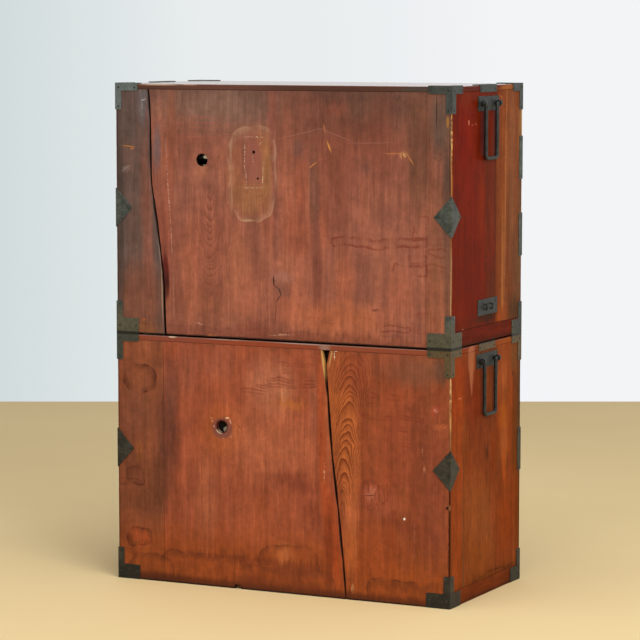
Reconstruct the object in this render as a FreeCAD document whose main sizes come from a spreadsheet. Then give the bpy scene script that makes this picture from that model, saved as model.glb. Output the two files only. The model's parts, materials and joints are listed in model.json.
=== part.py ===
import FreeCAD, Part
import os
import re
import Sketcher

# A chest in two stacked sections, with three drawers above and two below. The origin is the centre of the
# wooden underside, +Z is up, the drawers open towards -Y, and left is -X, as seen by someone who opens them.
# Millimetres.

SIZES = {
    # carcase
    "chest_width": 800, "chest_depth": 380, "section_height": 544, "section_gap": 4,
    "top_board": 12, "side_board": 18, "back_board": 10, "back_lip": 2.6, "back_play": 0.6,
    "base_height": 34, "base_rail": 24, "bottom_board": 12, "batten_width": 30,
    "drawer_rail": 14, "rail_depth": 24, "shelf_board": 8, "housing": 6,
    "lower_rail_mid": 292, "second_rail_mid": 216, "third_rail_mid": 384,
    # sheet iron
    "plate": 1.5, "flap": 2, "cap_reach": 54, "top_cap_band": 15.5, "top_cap_leg": 56, "foot_cap_band": 32,
    "foot_cap_leg": 69, "back_leg": 14, "side_leg": 18, "front_leg": 16, "front_band_gap": 0.5,
    "diamond_height": 86, "back_reach": 40, "side_reach": 46, "diamond_mid": 292, "upper_diamond_mid": 274,
    "strap_width": 16.5, "strap_height": 94,
    "guard_width": 88, "guard_drop": 14.5,
    "catch_width": 106, "catch_height": 34, "catch_mid": 74,
    "staple_rod": 3.5, "staple_span": 14, "staple_stand": 7, "staple_pitch": 30,
    # side handles
    "handle_rod": 8, "handle_legs": 60, "handle_drop": 116, "handle_corner": 8, "handle_bend": 5,
    "handle_end": 12, "handle_pivot": 508, "upper_handle_pivot": 506, "handle_stand": 8.5,
    "handle_plate_width": 112, "handle_plate_height": 31,
    "handle_eye": 6.8, "handle_eye_width": 7, "handle_eye_pitch": 82,
    "handle_shank": 5, "handle_shank_depth": 12,
    # drawer pulls
    "pull_rod": 6, "pull_legs": 78, "pull_drop": 36, "pull_corner": 7, "pull_bend": 4, "pull_end": 10,
    "pull_stand": 7, "pull_plate_width": 112, "pull_plate_height": 20, "pull_spread": 380, "pull_rise": 8,
    "pull_eye": 5.3, "pull_eye_width": 6, "pull_eye_pitch": 96, "pull_shank": 4, "pull_shank_depth": 12,
    "eye_play": 0.5,
    # drawers
    "drawer_front": 16, "drawer_wall": 10, "drawer_bottom": 7, "drawer_length": 350, "drawer_side_play": 1.5,
    "drawer_top_play": 2, "drawer_floor_play": 0.5, "drawer_recess": 2, "drawer_wall_drop": 4,
    # nails
    "nail_head": 2.4, "nail_crown": 1.1, "nail_rise": 1.1, "nail_inset": 6.5, "plate_nail_inset": 3.9,
    "diamond_tip_inset": 10.4, "diamond_edge_inset": 13, "pull_nail_spread": 31.2,
}

doc = FreeCAD.newDocument("ship_chest")
sheet = doc.addObject("Spreadsheet::Sheet", "sizes")
for row, (alias, value) in enumerate(SIZES.items(), start=1):
    sheet.set(f"A{row}", alias)
    sheet.set(f"B{row}", str(value))
    sheet.setAlias(f"B{row}", alias)
doc.recompute()

nodes = {}


def formula(text):
    """A line of arithmetic on the sheet's names, as an expression of this document."""
    return re.sub(r"[a-z]\w*", lambda word: ("sizes." if word.group() in SIZES else "") + word.group(), text)


def bind(thing, prop, text):
    thing.setExpression(prop, formula(text))


def place(thing, x, y, z):
    for axis, text in (("x", x), ("y", y), ("z", z)):
        bind(thing, f"Placement.Base.{axis}", text)


def block(name, x, y, z):
    """A rectangular piece between two places on each axis."""
    box = doc.addObject("Part::Box", name)
    for side, (low, high) in (("Length", x), ("Width", y), ("Height", z)):
        bind(box, side, f"({high}) - ({low})")
    place(box, x[0], y[0], z[0])
    return box


def fuse(name, pieces):
    joined = doc.addObject("Part::MultiFuse", name)
    joined.Shapes = pieces
    joined.Refine = True
    return joined


def cut(name, base, tools):
    """The base less the tools, which may touch one another."""
    result = doc.addObject("Part::Cut", name)
    result.Base = base
    result.Tool = tools[0] if len(tools) == 1 else group(name + "_tools", tools)
    return result


def group(name, pieces):
    together = doc.addObject("Part::Compound", name)
    together.Links = pieces
    return together


def node(piece):
    nodes[piece.Label] = piece
    return piece


def inward(plane, reach, sign):
    """From a face of the chest inwards: the face's side is +1 or -1."""
    return (f"{plane} - ({reach})", plane) if sign > 0 else (plane, f"{plane} + {reach}")


def outward(plane, reach, sign):
    return (plane, f"{plane} + {reach}") if sign > 0 else (f"{plane} - ({reach})", plane)


def lap(plane, inside, outside, sign):
    """From a little inside a face to a little outside it."""
    low, high = inward(plane, inside, sign), outward(plane, outside, sign)
    return (low[0], high[1]) if sign > 0 else (high[0], low[1])


def face_x(sign):
    return "(chest_width / 2)" if sign > 0 else "(-chest_width / 2)"


def face_y(sign):
    return "(chest_depth / 2)" if sign > 0 else "(-chest_depth / 2)"


def side_name(sign):
    return "right" if sign > 0 else "left"


# Sketched plates: an outline drawn on an upright plane of the body and padded to its thickness.


def sketched(name, plane, thickness, draw):
    body = doc.addObject("PartDesign::Body", name)
    sketch = body.newObject("Sketcher::SketchObject", name + "_outline")
    origin = next(feature for feature in body.Origin.OriginFeatures if feature.Role == plane)
    sketch.AttachmentSupport = [(origin, "")]
    sketch.MapMode = "FlatFace"
    draw(sketch)
    pad = body.newObject("PartDesign::Pad", name + "_pad")
    pad.Profile = sketch
    bind(pad, "Length", thickness)
    return body


def polygon(points):
    """Draws straight edges between points, each held by two dimensions bound to the sheet."""
    def draw(sketch):
        last = len(points)
        spots = [FreeCAD.Vector(float(x), float(z), 0) for x, z, _, _ in points]
        for at in range(last):
            sketch.addGeometry(Part.LineSegment(spots[at], spots[(at + 1) % last]), False)
        for at in range(last):
            sketch.addConstraint(Sketcher.Constraint("Coincident", at, 2, (at + 1) % last, 1))
        for at, (x, z, x_text, z_text) in enumerate(points):
            for kind, value, text in (("DistanceX", x, x_text), ("DistanceY", z, z_text)):
                index = sketch.addConstraint(Sketcher.Constraint(kind, -1, 1, at, 1, float(value)))
                sketch.setExpression(f"Constraints[{index}]", formula(text))
    return draw


def curve_and_edge(points, edge_x):
    """Draws a smooth curve through the points, closed by straight edges out to edge_x."""
    def draw(sketch):
        spots = [FreeCAD.Vector(x, z, 0) for x, z in points]
        curve = Part.BSplineCurve()
        curve.interpolate(spots)
        outer = [FreeCAD.Vector(edge_x, spots[-1].y, 0), FreeCAD.Vector(edge_x, spots[0].y, 0)]
        corners = [spots[-1], *outer, spots[0]]
        sketch.addGeometry(curve, False)
        for start, end in zip(corners, corners[1:]):
            sketch.addGeometry(Part.LineSegment(start, end), False)
    return draw


def ring(points):
    """Draws one closed smooth curve through the points."""
    def draw(sketch):
        curve = Part.BSplineCurve()
        curve.interpolate([FreeCAD.Vector(x, z, 0) for x, z in points], PeriodicFlag=True)
        sketch.addGeometry(curve, False)
    return draw


# Handles and drawer pulls: a rod bent square, whose ends turn outwards and lie in two eyes. They are built at
# the hinge, facing -Y, and then turned to face out of the chest.


def rod(name, radius, length, x, z, across):
    """A straight stretch, across the handle or upright."""
    run = doc.addObject("Part::Cylinder", name)
    bind(run, "Radius", radius)
    bind(run, "Height", length)
    if across:
        run.Placement.Rotation = FreeCAD.Rotation(FreeCAD.Vector(0, 1, 0), 90)
    place(run, x, "0", z)
    return run


def elbow(name, radius, bend, x, z, quarter):
    """A quarter bend about (x, z): quarter 0 is +X to +Z, 1 is +Z to -X, 2 goes on to -Z and 3 back to +X."""
    turn = doc.addObject("Part::Torus", name)
    bind(turn, "Radius1", bend)
    bind(turn, "Radius2", radius)
    turn.Angle3 = 90
    upright = FreeCAD.Rotation(FreeCAD.Vector(1, 0, 0), 90)
    turn.Placement.Rotation = upright.multiply(FreeCAD.Rotation(FreeCAD.Vector(0, 0, 1), 90 * quarter))
    place(turn, x, "0", z)
    return turn


def turned(thing, facing):
    """Turns a piece built to face -Y so that it faces -X, -Y or +X."""
    angle = {"left": -90, "front": 0, "right": 90}[facing]
    thing.Placement.Rotation = FreeCAD.Rotation(FreeCAD.Vector(0, 0, 1), angle)
    return thing


def drop_handle(name, kind, facing, hinge):
    radius, legs, drop = f"{kind}_rod / 2", f"{kind}_legs / 2", f"({kind}_drop - {kind}_rod / 2)"
    corner, bend = f"{kind}_corner", f"{kind}_bend"
    leg_length = f"{drop} - {corner} - {bend}"
    width = f"{kind}_legs - 2 * {corner}"
    pieces = [rod(name + "_crossbar", radius, width, f"{corner} - {legs}", f"-{drop}", True)]
    for sign, side in ((-1, "left"), (1, "right")):
        part = f"{name}_{side}"
        foot = f"{sign} * ({legs} - {corner})"
        head = f"{sign} * ({legs} + {bend})"
        end = head if sign > 0 else f"{head} - {kind}_end"
        pieces.append(rod(part + "_leg", radius, leg_length, f"{sign} * {legs}", f"{corner} - {drop}", False))
        pieces.append(elbow(part + "_foot", radius, corner, foot, f"{corner} - {drop}", 3 if sign > 0 else 2))
        pieces.append(elbow(part + "_head", radius, bend, head, f"-{bend}", 1 if sign > 0 else 0))
        pieces.append(rod(part + "_end", radius, f"{kind}_end", end, "0", True))
    handle = turned(fuse(name, pieces), facing)
    place(handle, *hinge)
    return node(handle)


def eye(name, kind, sign):
    """A ring round the hinge with a square shank that runs back into the board."""
    start = f"{sign} * {kind}_eye_pitch / 2 - {kind}_eye_width / 2"
    band = rod(name + "_band", f"{kind}_eye", f"{kind}_eye_width", start, "0", True)
    half = f"{kind}_shank / 2"
    middle = f"{sign} * {kind}_eye_pitch / 2"
    depth = f"{kind}_stand + {kind}_shank_depth"
    wide = (f"{middle} - {half}", f"{middle} + {half}")
    shank = block(name + "_shank", wide, ("0", depth), (f"-{half}", half))
    hole = rod(name + "_hole", f"{kind}_rod / 2 + eye_play", f"{kind}_eye_width", start, "0", True)
    return cut(name, fuse(name + "_solid", [band, shank]), [hole])


def handle_mount(name, kind, facing, hinge):
    """The two eyes and the back plate of a handle. Gives the plate and the eyes."""
    eyes = [eye(f"{name}_eye_{side_name(sign)}", kind, sign) for sign in (-1, 1)]
    both = turned(group(name + "_eyes", eyes), facing)
    width, height = f"{kind}_plate_width / 2", f"{kind}_plate_height / 2"
    sheet_iron = block(name + "_sheet", (f"-{width}", width), (f"{kind}_stand - plate", f"{kind}_stand"),
                       (f"-{height}", height))
    plate = turned(cut(name + "_plate", sheet_iron, eyes), facing)
    for thing in (both, plate):
        place(thing, *hinge)
    return plate, both


# Nails: a low domed head that sits on a face.


def nail(name, facing, x, y, z):
    head = doc.addObject("Part::Cone", name)
    bind(head, "Radius1", "nail_head")
    bind(head, "Radius2", "nail_crown")
    bind(head, "Height", "nail_rise")
    axis = {"back": (0, 1, 0), "front": (0, -1, 0), "left": (-1, 0, 0), "right": (1, 0, 0)}[facing]
    head.Placement.Rotation = FreeCAD.Rotation(FreeCAD.Vector(0, 0, 1), FreeCAD.Vector(*axis))
    place(head, x, y, z)
    return head


def corner_cap(name, sx, sy, plane, sz, flap):
    """One sheet folded over a corner: an L on the end face, one on the side and, with a flap, one on top."""
    band = "top_cap_band" if sz > 0 else "foot_cap_band"
    end_band = band if sy > 0 or sz < 0 else "top_board - front_band_gap"
    leg = "top_cap_leg" if sz > 0 else "foot_cap_leg"
    end_leg = "back_leg" if sy > 0 else "front_leg"
    over = flap or "0"
    x, y = face_x(sx), face_y(sy)
    end_skin, side_skin = outward(y, "plate", sy), outward(x, "plate", sx)
    tall, low, end_low = lap(plane, leg, over, sz), lap(plane, band, over, sz), lap(plane, end_band, over, sz)
    pieces = [
        block(name + "_end_leg", lap(x, end_leg, "plate", sx), end_skin, tall),
        block(name + "_end_arm", lap(x, "cap_reach", "plate", sx), end_skin, end_low),
        block(name + "_side_leg", side_skin, lap(y, "side_leg", "plate", sy), tall),
        block(name + "_side_arm", side_skin, lap(y, "cap_reach", "plate", sy), low),
    ]
    if flap:
        skin = outward(plane, flap, sz)
        long_x, long_y = lap(x, "cap_reach", "plate", sx), lap(y, "cap_reach", "plate", sy)
        pieces.append(block(name + "_flap_end", long_x, lap(y, "side_leg", "plate", sy), skin))
        pieces.append(block(name + "_flap_side", lap(x, "side_leg", "plate", sx), long_y, skin))
    return fuse(name, pieces)


def cap_nails(name, sx, sy, plane, sz):
    """A nail at the end of each arm and near the corner, on both upright faces."""
    band = "top_cap_band" if sz > 0 else "foot_cap_band"
    end_band = band if sy > 0 or sz < 0 else "(top_board - front_band_gap)"
    leg = "top_cap_leg" if sz > 0 else "foot_cap_leg"
    end_leg = "back_leg" if sy > 0 else "front_leg"
    facing = "back" if sy > 0 else "front"
    x, y = face_x(sx), face_y(sy)
    skin_x, skin_y = f"{x} + {sx} * plate", f"{y} + {sy} * plate"
    arm_x, arm_y = f"{x} - {sx} * (cap_reach - nail_inset)", f"{y} - {sy} * (cap_reach - nail_inset)"
    leg_x, leg_y = f"{x} - {sx} * {end_leg} / 2", f"{y} - {sy} * side_leg / 2"
    foot = f"{plane} - {sz} * ({leg} - nail_inset)"
    corner = f"{plane} - {sz} * {band} / 2"
    end_corner = f"{plane} - {sz} * {end_band} / 2"
    side = side_name(sx)
    return [
        nail(name + "_1", facing, arm_x, skin_y, end_corner), nail(name + "_2", facing, leg_x, skin_y, foot),
        nail(name + "_3", facing, leg_x, skin_y, end_corner), nail(name + "_4", side, skin_x, arm_y, corner),
        nail(name + "_5", side, skin_x, leg_y, foot), nail(name + "_6", side, skin_x, leg_y, corner),
    ]


def diamond(name, sx, middle):
    """A diamond folded down the back edge: half on the back, half on the side, joined along the fold."""
    half = SIZES["diamond_height"] / 2
    back, side = SIZES["back_reach"], SIZES["side_reach"]
    tall = "diamond_height / 2"
    on_back = sketched(name + "_back", "XZ_Plane", "plate", polygon([
        (0, -half, "0", f"-{tall}"), (-sx * back, 0, f"{-sx} * back_reach", "0"), (0, half, "0", tall)]))
    place(on_back, face_x(sx), "chest_depth / 2 + plate", middle)
    on_side = sketched(name + "_side", "YZ_Plane", "plate", polygon([
        (0, -half, "0", f"-{tall}"), (-side, 0, "-side_reach", "0"), (0, half, "0", tall)]))
    place(on_side, face_x(sx) if sx > 0 else f"{face_x(sx)} - plate", "chest_depth / 2", middle)
    fold = block(name + "_fold", outward(face_x(sx), "plate", sx), outward(face_y(1), "plate", 1),
                 (f"{middle} - {tall}", f"{middle} + {tall}"))
    return fuse(name, [on_back, on_side, fold])


def diamond_nails(name, sx, middle):
    x, y = face_x(sx), face_y(1)
    skin_x, skin_y = f"{x} + {sx} * plate", f"{y} + plate"
    tip_x, tip_y = f"{x} - {sx} * (back_reach - diamond_tip_inset)", f"{y} - (side_reach - diamond_tip_inset)"
    heads = [nail(name + "_tip_back", "back", tip_x, skin_y, middle),
             nail(name + "_tip_side", side_name(sx), skin_x, tip_y, middle)]
    for up in (-1, 1):
        at = f"{middle} + {up} * (diamond_height / 2 - diamond_edge_inset)"
        heads.append(nail(f"{name}_edge_back_{up + 1}", "back", f"{x} - {sx} * nail_inset", skin_y, at))
        heads.append(nail(f"{name}_edge_side_{up + 1}", side_name(sx), skin_x, f"{y} - nail_inset", at))
    return heads


def strap(name, sx, middle):
    """A short strip folded over the front edge where a drawer rail meets the side."""
    high = (f"{middle} - strap_height / 2", f"{middle} + strap_height / 2")
    x, y = face_x(sx), face_y(-1)
    return fuse(name, [
        block(name + "_front", lap(x, "strap_width", "plate", sx), outward(y, "plate", -1), high),
        block(name + "_side", outward(x, "plate", sx), lap(y, "strap_width", "plate", -1), high)])


def strap_nails(name, sx, middle):
    x, y = face_x(sx), face_y(-1)
    heads = []
    for up in (-1, 1):
        at = f"{middle} + {up} * (strap_height / 2 - nail_inset)"
        front_x, side_y = f"{x} - {sx} * strap_width / 2", f"{y} + strap_width / 2"
        heads.append(nail(f"{name}_front_{up + 1}", "front", front_x, f"{y} - plate", at))
        heads.append(nail(f"{name}_side_{up + 1}", side_name(sx), f"{x} + {sx} * plate", side_y, at))
    return heads


def guard(name, sx, plane):
    """A strip folded over the top edge above a side handle."""
    wide = ("-guard_width / 2", "guard_width / 2")
    x = face_x(sx)
    return fuse(name, [
        block(name + "_drop", outward(x, "plate", sx), wide, lap(plane, "guard_drop", "flap", 1)),
        block(name + "_flap", lap(x, "side_leg", "plate", sx), wide, outward(plane, "flap", 1))])


# The back boards have shrunk apart. A gap is a run of places (x, z, width), measured up from the section's
# underside, and it passes both ends of the boards.

UPPER_GAP = [(279, -2, 5), (281.5, 69, 4.2), (283, 113, 3.8), (288, 163, 3.4), (295, 222, 3), (304, 281, 3),
             (311.5, 325, 3), (313.5, 363, 3), (314.4, 466, 3), (320.5, 546, 3.4)]
LOWER_GAP = [(-159, -2, 1.6), (-156, 32, 1.8), (-152, 79, 2.2), (-147, 135, 2.6), (-140, 194, 2.8),
             (-132, 252, 3), (-125, 311, 3.2), (-119, 385, 3.4), (-115, 444, 3.6), (-110, 502, 4),
             (-108, 546, 4)]
BEYOND = 220  # how far a cutting tool reaches past a gap
OVERRUN = 55  # how far a board's blank reaches past the middle of its gap


def gap_edge(gap, sign):
    """The edge of the board on one side of a gap: +1 is the right board's."""
    return [(x + sign * width / 2, z) for x, z, width in gap]


def back_tool(name, draw, base):
    """A tool that passes right through a back board."""
    tool = sketched(name, "XZ_Plane", "back_board + 2", draw)
    place(tool, "0", "chest_depth / 2 + 1", base)
    return tool


def back_bore(name, x, z, radius, base):
    bore = doc.addObject("Part::Cylinder", name)
    bore.Radius = radius
    bind(bore, "Height", "back_board + 2")
    bore.Placement.Rotation = FreeCAD.Rotation(FreeCAD.Vector(1, 0, 0), 90)
    place(bore, str(x), "chest_depth / 2 + 1", f"{base} + {z}")
    return bore


def across(inset="0"):
    """From side to side, less an inset at each end."""
    return (f"-chest_width / 2 + {inset}", f"chest_width / 2 - ({inset})")


def back_boards(section, base, gap, gap_is_right, seam, middle_tools, left_tools=()):
    """Three boards nailed into the sides' rabbets. A gap and a tight seam part them, in either order."""
    high = (base, f"{base} + section_height - top_board")
    deep = inward(face_y(1), "back_board", 1)
    middle_x = sum(x for x, _, _ in gap) / len(gap)
    # Each tool takes away what lies past the gap's edge, seen from the board that it cuts.
    right_edge = curve_and_edge(gap_edge(gap, 1), middle_x - BEYOND)
    left_edge = curve_and_edge(gap_edge(gap, -1), middle_x + BEYOND)
    past_right = back_tool(section + "_past_right_edge", right_edge, base)
    past_left = back_tool(section + "_past_left_edge", left_edge, base)
    low_end, high_end = str(middle_x - OVERRUN), str(middle_x + OVERRUN)
    if gap_is_right:
        right_low, right_tools = low_end, [past_right]
        middle_span, middle_tools = (str(seam), high_end), [past_left, *middle_tools]
        left_high, left_tools = str(seam), []
    else:
        right_low, right_tools = str(seam), []
        middle_span, middle_tools = (low_end, str(seam)), [past_right, *middle_tools]
        left_high, left_tools = high_end, [past_left, *left_tools]
    low_x, high_x = across("back_lip + back_play")
    spans = {"right": (right_low, high_x), "middle": middle_span, "left": (low_x, left_high)}
    tools = {"right": right_tools, "middle": middle_tools, "left": left_tools}
    for board, wide in spans.items():
        name = f"{section}_back_{board}_board"
        if tools[board]:
            node(cut(name, block(name + "_blank", wide, deep, high), tools[board]))
        else:
            node(block(name, wide, deep, high))


def rabbeted(name, sign, high):
    """A board of a side. The rabbet along its back edge takes the back boards, behind a thin outer lip."""
    blank = block(name + "_blank", inward(face_x(sign), "side_board", sign), (face_y(-1), face_y(1)), high)
    rabbet = block(name + "_rabbet", inward(f"({face_x(sign)} - {sign} * back_lip)", "side_board", sign),
                   lap(face_y(1), "back_board", "1", 1), (f"{high[0]} - 1", f"{high[1]} + 1"))
    return cut(name + "_rabbeted", blank, [rabbet])


def runners(section, base):
    """Base rails, the board let in between them and the batten that carries its middle."""
    high, front, back = (base, f"{base} + base_height"), face_y(-1), f"({face_y(1)} - back_board)"
    parts = [rabbeted(f"{section}_runner_{side_name(sign)}", sign, high) for sign in (-1, 1)]
    between = across("side_board")
    parts.append(block(section + "_base_front", between, (front, f"{front} + base_rail"), high))
    parts.append(block(section + "_base_back", between, (f"{back} - base_rail", back), high))
    parts.append(block(section + "_batten", ("-batten_width / 2", "batten_width / 2"),
                       (f"{front} + base_rail", f"{back} - base_rail"), (base, f"{high[1]} - bottom_board")))
    node(group(section + "_base_rails", parts))
    node(block(section + "_bottom_board", between, (f"{front} + base_rail", f"{back} - base_rail"),
               (f"{base} + base_height - bottom_board", f"{base} + base_height")))


def rails_and_shelves(section, base, middles):
    """The rail and the shelf board over each lower drawer. Their ends are housed in the sides."""
    front, back = face_y(-1), f"({face_y(1)} - back_board)"
    wide = across("side_board - housing")
    rails, shelves = [], []
    for count, middle in enumerate(middles, start=1):
        top = f"{base} + {middle} + drawer_rail / 2"
        rails.append(block(f"{section}_rail_{count}", wide, (front, f"{front} + rail_depth"),
                           (f"{top} - drawer_rail", top)))
        shelves.append(block(f"{section}_shelf_{count}", wide, (f"{front} + rail_depth", back),
                             (f"{top} - shelf_board", top)))
    node(group(section + "_drawer_rails", rails))
    node(group(section + "_shelf_boards", shelves))
    return rails + shelves


def sides(section, base, tools, left_tools=()):
    high = (f"{base} + base_height", f"{base} + section_height - top_board")
    for sign in (-1, 1):
        name = f"{section}_{side_name(sign)}_side"
        node(cut(name, rabbeted(name, sign, high), [*tools[sign], *(left_tools if sign < 0 else ())]))


def section_iron(section, base, foot_flap, diamond_middle, rail_middles):
    """Caps on the corners, diamonds on the back edges, straps on the front edges, guards. Gives the nails."""
    top = f"({base} + section_height)"
    caps, plates, nails = [], [], []
    for sx in (-1, 1):
        side = side_name(sx)
        for sy, end in ((-1, "front"), (1, "back")):
            for plane, sz, level, flap in ((top, 1, "top", "flap"), (base, -1, "foot", foot_flap)):
                name = f"{section}_{level}_{end}_{side}"
                caps.append(corner_cap(name + "_cap", sx, sy, plane, sz, flap))
                nails += cap_nails(name + "_nail", sx, sy, plane, sz)
        name = f"{section}_{side}"
        middle = f"({base} + {diamond_middle})"
        plates += [diamond(name + "_diamond", sx, middle), guard(name + "_guard", sx, top)]
        nails += diamond_nails(name + "_diamond_nail", sx, middle)
        for at in (-1, 1):
            nails.append(nail(f"{name}_guard_nail_{at + 1}", side, f"{face_x(sx)} + {sx} * plate",
                              f"{at} * (guard_width / 2 - nail_inset)", f"{top} - guard_drop / 2"))
        for count, rail in enumerate(rail_middles, start=1):
            middle = f"({base} + {rail})"
            plates.append(strap(f"{name}_strap_{count}", sx, middle))
            nails += strap_nails(f"{name}_strap_nail_{count}", sx, middle)
    node(group(section + "_corner_caps", caps))
    node(group(section + "_edge_plates", plates))
    return nails


def side_handles(section, base, pivot):
    """A drop handle on each side. Gives the eyes, by side, as cutting tools, and the nails of the plates."""
    plates, eyes, nails = [], {}, []
    for sign in (-1, 1):
        side = side_name(sign)
        name = f"{section}_{side}_handle"
        hinge = (f"{face_x(sign)} + {sign} * handle_stand", "0", f"{base} + {pivot}")
        drop_handle(name, "handle", side, hinge)
        plate, eyes[sign] = handle_mount(name, "handle", side, hinge)
        plates.append(plate)
        for y in (-1, 1):
            for z in (-1, 1):
                nails.append(nail(f"{name}_nail_{y + 1}_{z + 1}", side, f"{face_x(sign)} + {sign} * plate",
                                  f"{y} * (handle_plate_width / 2 - plate_nail_inset)",
                                  f"{hinge[2]} + {z} * (handle_plate_height / 2 - plate_nail_inset)"))
    node(group(section + "_handle_plates", plates))
    node(group(section + "_handle_eyes", [eyes[-1], eyes[1]]))
    return eyes, nails


def staple(name, sign, y, middle):
    """A small upright loop of rod that stands out of the catch plate, with its ends flattened against it."""
    x = f"({face_x(sign)} + {sign} * plate)"
    half = "staple_rod / 2"
    tall = (f"{middle} - staple_span / 2", f"{middle} + staple_span / 2")
    deep = (f"({y}) - {half}", f"({y}) + {half}")
    loop = block(name + "_loop", outward(x, "staple_stand", sign), deep, tall)
    eye_hole = block(name + "_gap", outward(x, "staple_stand - staple_rod", sign), deep,
                     (f"{tall[0]} + staple_rod", f"{tall[1]} - staple_rod"))
    return cut(name, loop, [eye_hole])


def catches(base):
    """The plate low on each side of the upper section, which the lower handle swings up against."""
    middle = f"({base} + catch_mid)"
    pieces, nails = [], []
    for sign in (-1, 1):
        side = side_name(sign)
        name = f"upper_{side}_catch"
        skin = outward(face_x(sign), "plate", sign)
        pieces.append(block(name + "_plate", skin, ("-catch_width / 2", "catch_width / 2"),
                            (f"{middle} - catch_height / 2", f"{middle} + catch_height / 2")))
        for at in (-1, 1):
            pieces.append(staple(f"{name}_staple_{at + 1}", sign, f"{at} * staple_pitch / 2", middle))
            for z in (-1, 1):
                nails.append(nail(f"{name}_nail_{at + 1}_{z + 1}", side, f"{face_x(sign)} + {sign} * plate",
                                  f"{at} * (catch_width / 2 - nail_inset)",
                                  f"{middle} + {z} * (catch_height / 2 - nail_inset)"))
    node(group("upper_catch_plates", pieces))
    return nails


def drawer(number, floor, ceiling):
    """A full-width drawer between two heights, with two drop pulls."""
    name = f"drawer_{number}"
    half = "(chest_width / 2 - side_board - drawer_side_play)"
    face = f"({face_y(-1)} + drawer_recess)"
    inner = f"({face} + drawer_front)"
    far = f"({inner} + drawer_length)"
    low, top = f"({floor} + drawer_floor_play)", f"({ceiling} - drawer_top_play)"
    bottom_top, wall_top = f"({low} + drawer_bottom)", f"({top} - drawer_wall_drop)"
    high = (bottom_top, wall_top)
    walls = [block(f"{name}_wall_{side_name(sign)}", inward(f"({sign} * {half})", "drawer_wall", sign),
                   (inner, far), high) for sign in (-1, 1)]
    walls.append(block(name + "_wall_back", (f"-{half} + drawer_wall", f"{half} - drawer_wall"),
                       (f"{far} - drawer_wall", far), high))
    walls.append(block(name + "_floor", (f"-{half}", half), (inner, far), (low, bottom_top)))
    node(group(name + "_box", walls))
    board = block(name + "_front_blank", (f"-{half}", half), (face, inner), (low, top))
    iron, tools = [], []
    for sign in (-1, 1):
        side = side_name(sign)
        hinge = (f"{sign} * pull_spread / 2", f"{face} - pull_stand", f"({low} + {top}) / 2 + pull_rise")
        drop_handle(f"{name}_{side}_pull", "pull", "front", hinge)
        plate, eyes = handle_mount(f"{name}_{side}", "pull", "front", hinge)
        iron += [plate, eyes]
        tools.append(eyes)
        for at in (-1, 1):
            nail_x = f"{hinge[0]} + {at} * pull_nail_spread / 2"
            iron.append(nail(f"{name}_{side}_nail_{at + 1}", "front", nail_x, f"{face} - plate", hinge[2]))
    node(cut(name + "_front", board, tools))
    node(group(name + "_ironwork", iron))


def section(name, base, handle_pivot, foot_flap, diamond_middle, rail_middles, left_tools=()):
    node(block(name + "_top_board", across(), (face_y(-1), face_y(1)),
               (f"{base} + section_height - top_board", f"{base} + section_height")))
    runners(name, base)
    housed = rails_and_shelves(name, base, rail_middles)
    eyes, nails = side_handles(name, base, handle_pivot)
    sides(name, base, {sign: [*housed, eyes[sign]] for sign in (-1, 1)}, left_tools)
    return nails + section_iron(name, base, foot_flap, diamond_middle, rail_middles)


LOWER, UPPER = "0", "(section_height + section_gap)"
LOWER_RAILS, UPPER_RAILS = ["lower_rail_mid"], ["second_rail_mid", "third_rail_mid"]

# A long open crack down the lower left side, 2 mm wide at its top and 5 mm at its foot.
crack = sketched("lower_left_crack", "YZ_Plane", "side_board + 2", polygon([
    (114, 20, "114", "20"), (119.5, 20, "119.5", "20"), (119, 365, "119", "365"), (117, 365, "117", "365")]))
place(crack, "-chest_width / 2 - 1", "0", "0")

lower_nails = section("lower", LOWER, "handle_pivot", "", "diamond_mid", LOWER_RAILS, [crack])
upper_nails = section("upper", UPPER, "upper_handle_pivot", "flap", "upper_diamond_mid", UPPER_RAILS)
upper_nails += catches(UPPER)
node(group("lower_nails", lower_nails))
node(group("upper_nails", upper_nails))

UPPER_SEAM, LOWER_SEAM = -342, 285
back_boards("upper", UPPER, UPPER_GAP, True, UPPER_SEAM, [
    back_bore("upper_knot_hole", 187.4, 381.6, 13.5, UPPER),
    back_bore("upper_label_hole_high", 61, 401, 3.5, UPPER),
    back_bore("upper_label_hole_low", 51.5, 344.6, 2.5, UPPER)])

# The lower boards have an uneven knot hole, a wedge broken out at the top of the gap and a gnawed notch.
KNOT = [(129, 352), (132, 361), (141, 365), (151, 361), (153.5, 351), (146, 341), (135, 342)]
WEDGE = [(-121, 540), (-99, 540), (-104, 517), (-108, 500), (-112, 500), (-116, 517)]
NOTCH = (95, 110, 9)
knot = back_tool("lower_knot_hole", ring(KNOT), LOWER)
wedges = []
for side in ("middle", "left"):
    outline = polygon([(x, z, str(x), str(z)) for x, z in WEDGE])
    wedges.append(back_tool(f"lower_wedge_{side}", outline, LOWER))
notch = block("lower_notch", (str(NOTCH[0]), str(NOTCH[1])), lap(face_y(1), "back_board + 1", "1", 1),
              ("-1", str(NOTCH[2])))
back_boards("lower", LOWER, LOWER_GAP, False, LOWER_SEAM, [knot, wedges[0], notch], [wedges[1]])

# Drawers, numbered from the top.
upper_floor, upper_ceiling = f"{UPPER} + base_height", f"{UPPER} + section_height - top_board"
drawer(1, f"{UPPER} + third_rail_mid + drawer_rail / 2", upper_ceiling)
drawer(2, f"{UPPER} + second_rail_mid + drawer_rail / 2", f"{UPPER} + third_rail_mid - drawer_rail / 2")
drawer(3, upper_floor, f"{UPPER} + second_rail_mid - drawer_rail / 2")
drawer(4, "lower_rail_mid + drawer_rail / 2", "section_height - top_board")
drawer(5, "base_height", "lower_rail_mid - drawer_rail / 2")

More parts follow.
